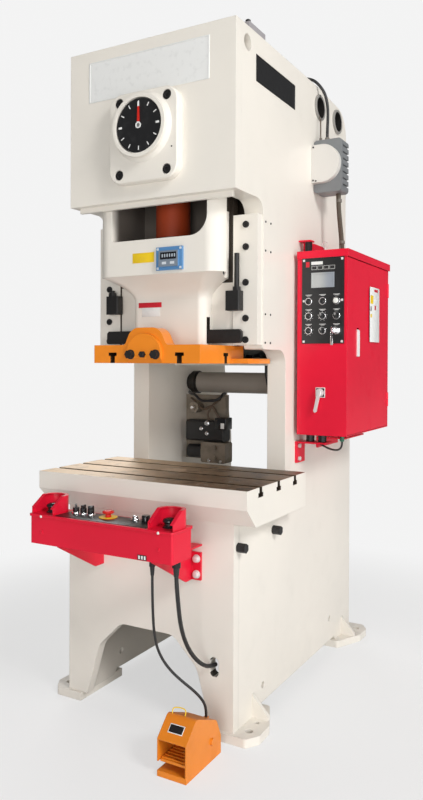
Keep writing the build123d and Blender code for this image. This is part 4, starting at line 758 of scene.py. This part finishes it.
class PRESS_OT_paint_shop(bpy.types.Operator):
    """Makes the finishes and gives them to the parts of the machine"""

    bl_idname = "press.paint_shop"
    bl_label = "Paint shop"

    def execute(self, context):
        tones, wear = chosen("colours"), chosen("wear")
        for name, fields in (("frame_cream", None), ("column_cream", column_fields),
                             ("head_cream", head_fields), ("ram_cream", ram_fields),
                             ("rail_cream", rail_fields), ("base_cream", base_fields)):
            paint(name, tones.cream, tones.shade, 0.33, 0.3, wear.grime, fields)
        orange = scaled(tones.orange, 0.86)
        paint("plate_orange", tones.orange, orange, 0.3, 0.4, 0.3, slot_fields)
        paint("switch_grey", (0.20, 0.21, 0.215), (0.16, 0.165, 0.17), 0.4, 0.1, 0.0, switch_fields)
        paint("tank_grey", (0.31, 0.275, 0.24), (0.22, 0.19, 0.16), 0.35, 0.2, 0.5, tank_fields)
        for name, fields in (("cabinet_crimson", None), ("support_crimson", support_fields),
                             ("box_crimson", box_fields)):
            paint(name, tones.crimson, scaled(tones.crimson, 0.9), 0.3, 0.06, 0.0, fields)
        paint("tooling_orange", tones.orange, orange, 0.3, 0.4, 0.3)
        paint("rod_red", tones.rod, scaled(tones.rod, 0.6), 0.55, 0.0, 0.5)
        paint("machine_grey", tones.grey, scaled(tones.grey, 0.7), 0.45, 0.1, 0.4)
        bolster_finish(tones, wear)
        bare_metal("blackened", (0.035, 0.034, 0.034), 0.38, metallic=0.6)
        bare_metal("bush_bronze", (0.52, 0.34, 0.14), 0.28)
        bare_metal("cast_iron", tones.iron, 0.5, metallic=0.7)
        bare_metal("bright_steel", tones.steel, 0.24, (1, 0.1, 1))
        bare_metal("chrome", (0.72, 0.72, 0.73), 0.12, spots=0.1)
        bare_metal("iron_grey", (0.20, 0.18, 0.155), 0.4, metallic=0.6)
        bare_metal("lever_pale", (0.74, 0.70, 0.69), 0.3, metallic=0.3, spots=0.1)
        for name, tone, rough in (
            ("dark_plastic", tones.black, 0.36), ("gloss_black", tones.black, 0.16),
            ("pale_plastic", tones.white, 0.3), ("stop_red", (0.66, 0.012, 0.012), 0.22),
            ("bare_plate", tones.white, 0.28), ("yellow_field", tones.yellow, 0.35),
            ("red_field", (0.60, 0.015, 0.03), 0.3), ("lamp_lens", (0.80, 0.80, 0.76), 0.1),
            ("wire_brown", (0.10, 0.065, 0.04), 0.5), ("gland_green", (0.02, 0.16, 0.09), 0.4),
        ):
            plastic(name, tone, rough)
        valve_finish()
        pointer_finish(tones)
        hose_finish()
        rubber_finish()
        counter_finish(tones)
        panel_finish()
        for name, nodes in PAINTED.items():
            for node in nodes:
                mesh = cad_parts[node].data
                mesh.materials.clear()
                mesh.materials.append(material(name))
        return {"FINISHED"}


class PRESS_OT_bare_plates(bpy.types.Operator):
    """Adds the bare plates, strips and labels of the frame, the ram and the cabinet"""

    bl_idname = "press.bare_plates"
    bl_label = "Bare plates"

    def execute(self, context):
        thick = chosen("sizes").plate
        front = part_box("head_plates")[0].y
        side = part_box("side_plate_right")[1].x
        ram, step_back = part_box("ram_body")[0].y, 0.082
        clamp = ram + step_back
        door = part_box("cabinet_door")[1].x
        for name, finish, outward, rim, low, high in (
            ("head_plate", "bare_plate", (0, -1, 0), 0.004,
             (-0.262, front - thick, 2.217), (0.250, front, 2.365)),
            ("side_plate_label", "dark_plastic", (1, 0, 0), 0.005,
             (side, -0.453, 2.240), (side + thick, -0.112, 2.334)),
        ):
            plate = boxed(name, low, high)
            edit_faces(plate, lambda face: face.normal.dot(outward) > 0.9)
            bpy.ops.mesh.inset(thickness=rim, depth=-0.0004)
            complete(plate, finish)
        sheet = 0.001
        for name, finish, body, low, high in (
            ("ram_strip", "yellow_field", "ram", (-0.096, ram - sheet, 1.622), (-0.002, ram, 1.658)),
            ("ram_label_band", "red_field", "ram", (-0.126, clamp - sheet, 1.466),
             (-0.023, clamp, 1.485)),
            ("ram_label", "bare_plate", "ram", (-0.110, clamp - sheet, 1.432), (-0.030, clamp, 1.466)),
            ("cabinet_label", "bare_plate", "cabinet_door", (door, 0.144, 1.348),
             (door + 0.0008, 0.271, 1.571)),
        ):
            block(name, finish, low, high, body=body)
        for finish, fields in (
            ("yellow_field", ((0.150, 0.186, 1.503, 1.537), (0.150, 0.168, 1.447, 1.461))),
            ("red_field", ((0.200, 0.246, 1.553, 1.564), (0.204, 0.222, 1.480, 1.498))),
            ("dark_plastic", ((0.152, 0.163, 1.472, 1.492),)),
        ):
            spots = [boxed("field", (door + 0.0006, y0, z0), (door + 0.0012, y1, z1), 0)
                     for y0, y1, z0, z1 in fields]
            complete(joined("label_" + finish, spots), finish, "cabinet_door")
        return {"FINISHED"}


class PRESS_OT_dial(bpy.types.Operator):
    """Adds the white marks of the dial, wider at three and nine o'clock"""

    bl_idname = "press.dial"
    bl_label = "Dial marks"

    def execute(self, context):
        low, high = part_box("dial_face")
        centre = at(0, low.y, (low.z + high.z) / 2)
        rim = (high.z - low.z) / 2 - 0.008
        inner = rim - chosen("sizes").tick
        marks = []
        for hour in range(12):
            half = 0.00375 if hour in (3, 9) else 0.00175
            mark = boxed("mark", (-half, -0.0008, inner), (half, 0.0002, rim), 0.0002)
            mark.matrix_world = centre @ Matrix.Rotation(radians(30 * hour), 4, "Y")
            marks.append(settle(mark))
        complete(joined("dial_marks", marks), "bare_plate")
        return {"FINISHED"}


# How far the cabinet's roof and the panel's sheet stand in front of the cabinet's wall
ROOF_OVERHANG, SHEET = 0.006, 0.003
CONTROL_X = (0.414, 0.470, 0.526)
CONTROL_Z = (1.385, 1.441, 1.497)
SCALED_KNOBS = ((0.414, 1.385), (0.414, 1.441), (0.470, 1.441))


def control(name):
    """Centre, radius and back of a round control on the panel."""
    low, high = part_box(name)
    return (low.x + high.x) / 2, (low.z + high.z) / 2, (high.x - low.x) / 2, high.y


class PRESS_OT_panel_controls(bpy.types.Operator):
    """Adds bezels, printed dashes, buttons and knobs to the cabinet's panel"""

    bl_idname = "press.panel_controls"
    bl_label = "Panel controls"

    def execute(self, context):
        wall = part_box("cabinet_shell")[0].y + ROOF_OVERHANG
        face = wall - SHEET
        radius = chosen("sizes").bezel
        ring = turned("bezels", [
            (radius, 0.003), (radius - 0.001, 0.004), (radius - 0.0032, 0.004),
            (radius - 0.0036, 0.002)], way="front")
        places = [at(x, face, z) for z in CONTROL_Z for x in CONTROL_X]
        complete(repeated(ring, places), "chrome")
        dashes = [
            boxed("dash", (x - half, face - 0.0004, z + row), (x + half, face, z + row + 0.0016), 0)
            for x in CONTROL_X for z in CONTROL_Z for row, half in ((0.024, 0.013), (0.0205, 0.008))
        ]
        complete(joined("panel_print", dashes), "bare_plate")
        for number in (1, 2, 3, 4):
            name = f"panel_button_{number}"
            x, z, r, back = control(name)
            cap = turned(name + "_cap", [
                (r, 0.018), (r - 0.001, 0.0195), (r - 0.004, 0.0205), (r - 0.007, 0.0195)],
                (x, back - 0.002, z), "front")
            stand_in(cap, "gloss_black", name)
        for number in (1, 2, 3):
            name = f"panel_selector_{number}"
            x, z, r, back = control(name)
            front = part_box(name)[0].y
            knob = turned(name + "_base", [(r, 0.019), (r - 0.001, 0.020)],
                          (x, back - 0.002, z), "front")
            grip = boxed(name + "_grip", (x - 0.003, front, z - 0.010),
                         (x + 0.003, front + 0.011, z + 0.010), 0.0012)
            stand_in(joined(name + "_knob", [knob, grip]), "dark_plastic", name)
            block(name + "_line", "bare_plate", (x - 0.0008, front - 0.0002, z + 0.001),
                  (x + 0.0008, front + 0.0002, z + 0.0088), 0, name)
        complete(turned("panel_lamp", [
            (0.0105, 0.008), (0.0095, 0.0105), (0.006, 0.0118), (0.002, 0.0123)],
            (CONTROL_X[2], face, CONTROL_Z[2]), "front"), "lamp_lens")
        block("panel_strip", "bare_plate", (0.424, face - 0.0006, 1.636), (0.470, face, 1.648), 0)
        block("panel_field", "red_field", (0.402, face - 0.0006, 1.628), (0.416, face, 1.648), 0)
        ticks = []
        for x, z in SCALED_KNOBS:
            for step in range(9):
                tick = boxed("tick", (-0.0005, -0.0004, 0.0165), (0.0005, 0, 0.0195), 0)
                turn = Matrix.Rotation(radians(40 * step - 160), 4, "Y")
                tick.matrix_world = at(x, face, z) @ turn
                ticks.append(settle(tick))
        complete(joined("panel_ticks", ticks), "bare_plate")
        low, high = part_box("key_switch")
        x, front, z = (low.x + high.x) / 2, low.y, (low.z + high.z) / 2
        bow = boxed("key_bow", (x - 0.001, front - 0.013, z - 0.009),
                    (x + 0.001, front + 0.002, z + 0.009), 0.0006)
        ring = hoop((x, front - 0.009, z - 0.015), (0, pi / 2, 0), 0.009, 0.0007, 32, 8)
        spare = boxed("spare_key", (x - 0.004, front - 0.010, z - 0.056),
                      (x + 0.006, front - 0.008, z - 0.023), 0.0005)
        complete(joined("keys", [bow, ring, spare]), "chrome", "key_switch")
        x, z = 0.462, 1.150
        for name, finish, half, outer, inner in (
            ("lever_rim", "bare_plate", 0.019, 0.0012, 0),
            ("lever_base", "dark_plastic", 0.0165, 0.0020, 0.0010),
        ):
            block(name, finish, (x - half, wall - outer, z - half), (x + half, wall - inner, z + half))
        return {"FINISHED"}


KNOB_Y, LAMP_Y, LAMP_X = -0.805, -0.795, 0.090
KNOB_TURNS = ((-0.150, 35), (-0.118, 0), (-0.086, -35))


def foot_of(name):
    """The middle of a node's underside."""
    low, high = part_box(name)
    return Vector(((low.x + high.x) / 2, (low.y + high.y) / 2, low.z))


class PRESS_OT_box_controls(bpy.types.Operator):
    """Adds the buttons, stop disc, knobs, lamp, top plate, screws and bolts of the button box"""

    bl_idname = "press.box_controls"
    bl_label = "Button box controls"

    def execute(self, context):
        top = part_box("button_box")[1].z - LAMP_RISE
        block("box_top_plate", "dark_plastic", (-0.184, -0.874, top), (0.184, -0.772, top + 0.0012),
              0.0004)
        for name in ("palm_button_left", "palm_button_right"):
            stand_in(turned(name + "_head", [
                (0.0215, 0.034), (0.017, 0.040), (0.017, 0.048), (0.0218, 0.053),
                (0.0215, 0.057), (0.018, 0.061), (0.011, 0.0638), (0.004, 0.0645)],
                foot_of(name)), "gloss_black", name)
        stop = foot_of("estop_button")
        stand_in(turned("stop_head", [
            (0.0095, 0.038), (0.0165, 0.040), (0.0198, 0.043), (0.0198, 0.046),
            (0.0175, 0.0485), (0.012, 0.0498), (0.004, 0.0500)], stop), "stop_red", "estop_button")
        complete(turned("stop_disc", [
            (0.031, 0.0012), (0.0305, 0.0016), (0.0125, 0.0016), (0.012, 0.0004)],
            (stop.x, stop.y, top + 0.003), sides=56), "yellow_field")
        ring = turned("box_collars", [(0.0150, 0.005), (0.0138, 0.007), (0.0102, 0.007)])
        places = [at(x, KNOB_Y, top) for x, turn in KNOB_TURNS] + [at(LAMP_X, LAMP_Y, top)]
        complete(repeated(ring, places), "chrome")
        knob = turned("box_knobs", [(0.0112, 0.014), (0.0100, 0.0155), (0.0035, 0.0155)])
        grip = boxed("grip", (-0.0032, -0.0105, 0.013), (0.0032, 0.0105, 0.026), 0.0012)
        knob = joined("box_knobs", [knob, grip])
        places = [at(x, KNOB_Y, top + 0.006) @ Matrix.Rotation(radians(turn), 4, "Z")
                  for x, turn in KNOB_TURNS]
        complete(repeated(knob, places), "gloss_black")
        complete(turned("box_lamp", [
            (0.0112, 0.010), (0.0100, 0.0125), (0.0060, 0.0138), (0.0020, 0.0142)],
            (LAMP_X, LAMP_Y, top + 0.004)), "chrome")
        complete(turned("box_stub", [
            (0.0135, 0.020), (0.0125, 0.0215), (0.0040, 0.0215)],
            (0.130, LAMP_Y, top)), "gloss_black")
        places = [(x, -0.8822, top - 0.006) for x in (-0.236, 0.236)]
        complete(dome("lid_screws", 0.0048, "front", places), "lamp_lens")
        block("box_plate", "dark_plastic", (0.158, -0.8812, 0.650), (0.192, -0.880, 0.666))
        bars = [boxed("bar", (x, -0.8817, 0.6525), (x + 0.006, -0.8811, 0.6635), 0)
                for x in (0.1615, 0.1720, 0.1825)]
        complete(joined("box_bars", bars), "bare_plate")
        bolt = turned("bracket_bolts", [
            (0.0140, 0.0025), (0.0115, 0.0025), (0.0115, 0.0108), (0.0090, 0.0128),
            (0.0040, 0.0132)], way="front", sides=24)
        places = [at(x, -0.610, z) for x in (-0.212, 0.212) for z in (0.545, 0.598)]
        complete(repeated(bolt, places), "lever_pale")
        return {"FINISHED"}


PEDAL_ROUTE = [
    (176, -825, 618), (176, -825, 560), (174, -820, 505), (171, -812, 450), (167, -800, 396),
    (168, -784, 343), (181, -767, 298), (205, -752, 262), (236, -737, 232), (267, -721, 205),
    (292, -709, 178), (304, -702, 150), (304, -702, 120),
]
BOX_ROUTE = [
    (250, -800, 618), (250, -800, 580), (252, -796, 530), (250, -785, 480), (246, -768, 430),
    (244, -746, 382), (246, -720, 336), (252, -690, 296), (261, -656, 264), (269, -622, 246),
    (271, -580, 240),
]


class PRESS_OT_cords(bpy.types.Operator):
    """Lays the pedal's cord and the button box's cord, with their strain reliefs"""

    bl_idname = "press.cords"
    bl_label = "Cords"

    def execute(self, context):
        for name, node, wide, long, route in (
            ("pedal_cord", "pedal_cable", 0.009, 0.562, PEDAL_ROUTE),
            ("box_cord", "box_cable", 0.014, 0.477, BOX_ROUTE),
        ):
            piece = cord_curve(name, wide, route)
            piece.data.materials.append(material("cable_jacket"))
            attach(piece, "frame")
            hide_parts(node)
            start = Vector(route[0]) * MM
            r = wide / 2
            complete(turned(name + "_relief", [
                (r + 0.0045, 0.010), (r + 0.0035, 0.012), (r + 0.003, 0.024),
                (r + 0.0012, 0.044), (r + 0.0002, 0.0445)],
                start + Vector((0, 0, 0.016)), "down", 32), "dark_plastic")
        return {"FINISHED"}


class PRESS_OT_fasteners(bpy.types.Operator):
    """Adds the screws of the side plate and the cover, the head's bolt, and dark discs that paint the
    shade of two small holes
    """

    bl_idname = "press.fasteners"
    bl_label = "Small fasteners"

    def execute(self, context):
        radius = chosen("sizes").screw
        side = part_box("side_plate_right")[1].x
        ram_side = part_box("ram_body")[1].x
        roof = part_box("head_plates")[1].z
        plug = turned("side_plate_screws", [
            (radius, 0.0016), (radius * 0.8, 0.0022), (radius * 0.45, 0.0022),
            (radius * 0.4, 0.0006)], way="right", sides=16)
        places = [at(side, y, z) for z in (1.766, 1.663, 1.436, 1.334) for y in (-0.370, -0.327)]
        complete(repeated(plug, places), "blackened")
        places = [(0.358, 0.060, 2.138), (0.358, 0.060, 2.004), (0.370, 0.060, 2.001)]
        complete(dome("cover_screws", 0.0036, "front", places), "blackened")
        # painted shade: dark discs stand in for the insides of two small holes
        complete(turned("flange_hole", [(0.0030, 0.0004), (0.0020, 0.0004)],
                        (0.121, -0.636, 2.000), "front", 20), "blackened")
        complete(turned("ram_hole", [(0.0055, 0.0005), (0.0030, 0.0005)],
                        (ram_side, -0.520, 1.572), "right", 20), "blackened", "ram")
        complete(turned("head_bolt", [(0.0090, 0.007), (0.0070, 0.009), (0.0030, 0.009)],
                        (0.340, -0.496, roof), sides=24), "blackened")
        return {"FINISHED"}


VALVE_FITTINGS = (
    (-0.124, 0.047, 0.996, 0.012, 0.014), (-0.126, 0.047, 0.950, 0.009, 0.010),
    (-0.150, 0.047, 0.972, 0.008, 0.018), (-0.117, 0.051, 0.832, 0.008, 0.010),
    (-0.060, 0.051, 0.830, 0.007, 0.008), (-0.206, 0.051, 1.062, 0.007, 0.006),
)
VALVE_WIRES = (
    (0.012, [
        (-262, 120, 1128), (-230, 80, 1120), (-200, 62, 1122), (-168, 58, 1092), (-128, 58, 1092),
        (-88, 60, 1096), (-66, 66, 1112), (-72, 90, 1126), (-76, 118, 1124)]),
    (0.010, [
        (-250, 118, 1100), (-215, 84, 1092), (-180, 66, 1066), (-146, 60, 1052), (-116, 58, 1074),
        (-98, 60, 1060), (-92, 66, 1038), (-78, 72, 1018)]),
    (0.008, [
        (-120, 60, 1006), (-132, 52, 1030), (-120, 56, 1056), (-100, 66, 1086), (-84, 96, 1100),
        (-80, 118, 1104)]),
)


class PRESS_OT_plumbing(bpy.types.Operator):
    """Adds the fittings, clamps and small wires of the valves, the switch, the cabinet and the pedal"""

    bl_idname = "press.plumbing"
    bl_label = "Fittings and wires"

    def execute(self, context):
        block("valve_coil", "gloss_black", (-0.085, 0.040, 0.970), (-0.030, 0.100, 1.021), 0.003)
        block("coil_label", "bare_plate", (-0.055, 0.0394, 0.975), (-0.038, 0.0402, 0.999), 0)
        fittings = [turned("fitting", [
            (r, rise * 0.6), (r * 0.75, rise * 0.6), (r * 0.75, rise), (r * 0.3, rise)],
            (x, y, z), "front", 6 if r > 0.0085 else 20) for x, y, z, r, rise in VALVE_FITTINGS]
        complete(joined("valve_fittings", fittings), "chrome")
        for number, (wide, route) in enumerate(VALVE_WIRES):
            tube = wire(f"valve_wire_{number}", wide, route)
            complete(tube, "wire_brown" if number else "cable_jacket")
        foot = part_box("cam_switch")[1].z
        hexagon = turned("hose_fitting", [
            (0.0120, 0.008), (0.0095, 0.009), (0.0095, 0.022), (0.0075, 0.024)],
            (0.388, 0.140, foot), sides=6)
        small = turned("wire_fitting", [(0.0060, 0.014), (0.0035, 0.018)],
                       (0.370, 0.112, foot), sides=16)
        complete(joined("switch_fittings", [hexagon, small]), "iron_grey")
        complete(wire("switch_wire", 0.004, [
            (370, 112, 2185), (370, 112, 2220), (368, 116, 2250), (362, 124, 2275),
            (354, 130, 2290)]), "wire_brown")
        clip = turned("conduit_clips", [(0.0108, 0.012), (0.0090, 0.013)], sides=24)
        places = [at(0.4405, 0.1405, 1.922), at(0.4512, 0.1490, 1.752)]
        complete(repeated(clip, places), "iron_grey")
        complete(wire("conduit_wire", 0.004, [
            (431, 136, 1966), (431, 136, 1922), (436, 138, 1850), (441, 143, 1785), (442, 146, 1752),
            (442, 146, 1692)]), "wire_brown")
        ring = hoop((0.412, 0.060, 1.738), (pi / 2, 0, 0), 0.012, 0.0017, 36, 10)
        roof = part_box("cabinet_shell")[1].z
        stem = turned("cabinet_eye", [
            (0.009, 0.003), (0.0035, 0.004), (0.0035, 1.728 - roof)],
            (0.412, 0.060, roof), sides=20)
        complete(joined("cabinet_eye", [stem, ring]), "lever_pale")
        complete(turned("cabinet_gland", [
            (0.0110, 0.010), (0.0085, 0.011), (0.0085, 0.030), (0.0060, 0.032)],
            (0.505, 0.010, 0.986), "down", 24), "gland_green")
        complete(wire("cabinet_wire", 0.008, [
            (505, 10, 956), (505, 10, 940), (494, 22, 924), (470, 44, 914), (430, 74, 914),
            (390, 100, 924), (352, 118, 934)]), "cable_jacket")
        lean = radians(43)
        slope = at(0.289, -0.858, 0.1424) @ Matrix.Rotation(lean, 4, "X")
        for name, finish, x, y, thick in (("pedal_border", "bare_plate", 0.026, 0.014, 0.0008),
                                          ("pedal_plate", "dark_plastic", 0.0235, 0.0115, 0.0012)):
            plate = boxed(name, (-x, -y, -0.0002), (x, y, thick), 0)
            plate.matrix_world = slope
            complete(settle(plate), finish)
        complete(wire("pedal_bail", 0.0036, [
            (252, -822, 165), (250, -820, 178), (254, -816, 186), (275, -812, 188), (292, -812, 186),
            (297, -814, 178), (294, -818, 165)]), "yellow_field")
        return {"FINISHED"}


PAPER = (0.90, 0.90, 0.90, 1)
CAMERA_PLACE = (1.487, -2.766, 1.267)
CAMERA_TURN = (radians(89.58), radians(-0.24), radians(29.52))
CAMERA_SHIFT = -0.0416


class PRESS_OT_stage(bpy.types.Operator):
    """Sets up the floor, the soft light and the camera at the photograph's angle"""

    bl_idname = "press.stage"
    bl_label = "Stage"

    def execute(self, context):
        stage = chosen("stage")
        clear()
        bpy.ops.mesh.primitive_circle_add(vertices=96, radius=24, fill_type="NGON")
        floor = bpy.context.object
        floor.name = "floor"
        finish = Finish("floor_paper", Roughness=0.85)
        tone = finish.mix((0.80, 0.80, 0.79), (0.84, 0.84, 0.83), finish.noise(1.5))
        finish.give(Base_Color=tone)
        seen = finish.node("ShaderNodeLightPath", {}, {}, "Is Camera Ray")
        glow = finish.node("ShaderNodeEmission", {}, {"Color": PAPER, "Strength": 1.0})
        shader = Value(finish, finish.shader.outputs[0])
        paper = seen * (squares(finish.x, finish.y).ramp(0.8, 5.0) * 0.35 + 0.65)
        blend = finish.node("ShaderNodeMixShader", {}, {0: paper, 1: shader, 2: glow})
        finish.feed(finish.tree.nodes["Material Output"].inputs[0], blend)
        floor.data.materials.append(finish.material)
        for name, power, size, place, aim in (
            ("key", stage.key, 1.8, (6.2, -2.9, 5.2), (0, -0.3, 1.3)),
            ("side", stage.fill * 1.15, 2.4, (5.5, -2.4, 0.8), (0.2, 0, 0.8)),
            ("front", stage.fill * 2.1, 3.0, (2.4, -6.5, 1.0), (0, -0.3, 0.9)),
            ("back", stage.fill, 2.4, (-2.8, 3.4, 3.6), (0, 0, 1.4)),
        ):
            light = bpy.data.lights.new(name, "AREA")
            light.energy = power
            light.size = size
            lamp = bpy.data.objects.new(name, light)
            lamp.location = place
            lamp.rotation_euler = (Vector(aim) - Vector(place)).to_track_quat("-Z", "Y").to_euler()
            bpy.context.scene.collection.objects.link(lamp)
        world = bpy.data.worlds.new("studio")
        bpy.context.scene.world = world
        world.use_nodes = True
        sky = Tree(world.node_tree)
        glossy = sky.node("ShaderNodeLightPath", {}, {}, "Is Glossy Ray")
        seen = sky.node("ShaderNodeLightPath", {}, {}, "Is Camera Ray")
        even = sky.node("ShaderNodeBackground", {}, {
            "Color": (1, 1, 1, 1), "Strength": stage.sky - glossy * (0.6 * stage.sky)})
        paper = sky.node("ShaderNodeBackground", {}, {"Color": PAPER})
        blend = sky.node("ShaderNodeMixShader", {}, {0: seen, 1: even, 2: paper})
        sky.feed(sky.tree.nodes["World Output"].inputs[0], blend)
        view = bpy.data.cameras.new("photo_camera")
        view.lens = stage.focal
        view.shift_y = CAMERA_SHIFT
        view.clip_end = 60
        camera = bpy.data.objects.new("photo_camera", view)
        camera.location = CAMERA_PLACE
        camera.rotation_euler = CAMERA_TURN
        bpy.context.scene.collection.objects.link(camera)
        bpy.context.scene.camera = camera
        bpy.context.scene.view_settings.view_transform = "Standard"
        return {"FINISHED"}


STEPS = [
    PRESS_OT_paint_shop, PRESS_OT_bare_plates, PRESS_OT_dial, PRESS_OT_panel_controls,
    PRESS_OT_box_controls, PRESS_OT_cords, PRESS_OT_fasteners, PRESS_OT_plumbing, PRESS_OT_stage,
]


class PRESS_PT_sidebar(bpy.types.Panel):
    """The steps that dress the press, in their order"""

    bl_label = "Stamping press"
    bl_idname = "PRESS_PT_sidebar"
    bl_space_type = "VIEW_3D"
    bl_region_type = "UI"
    bl_category = "Press"

    def draw(self, context):
        for group in SETS:
            settings = chosen(group)
            box = self.layout.box()
            for name in SETS[group].__annotations__:
                box.prop(settings, name)
        for step in STEPS:
            self.layout.operator(step.bl_idname)


def register():
    for group, kind in SETS.items():
        bpy.utils.register_class(kind)
        setattr(bpy.types.Scene, "press_" + group, bpy.props.PointerProperty(type=kind))
    for step in STEPS:
        bpy.utils.register_class(step)
    bpy.utils.register_class(PRESS_PT_sidebar)


def unregister():
    bpy.utils.unregister_class(PRESS_PT_sidebar)
    for step in reversed(STEPS):
        bpy.utils.unregister_class(step)
    for group, kind in SETS.items():
        delattr(bpy.types.Scene, "press_" + group)
        bpy.utils.unregister_class(kind)


def main():
    register()
    for step in STEPS:
        kind, name = step.bl_idname.split(".")
        getattr(getattr(bpy.ops, kind), name)()


if __name__ == "__main__":
    main()
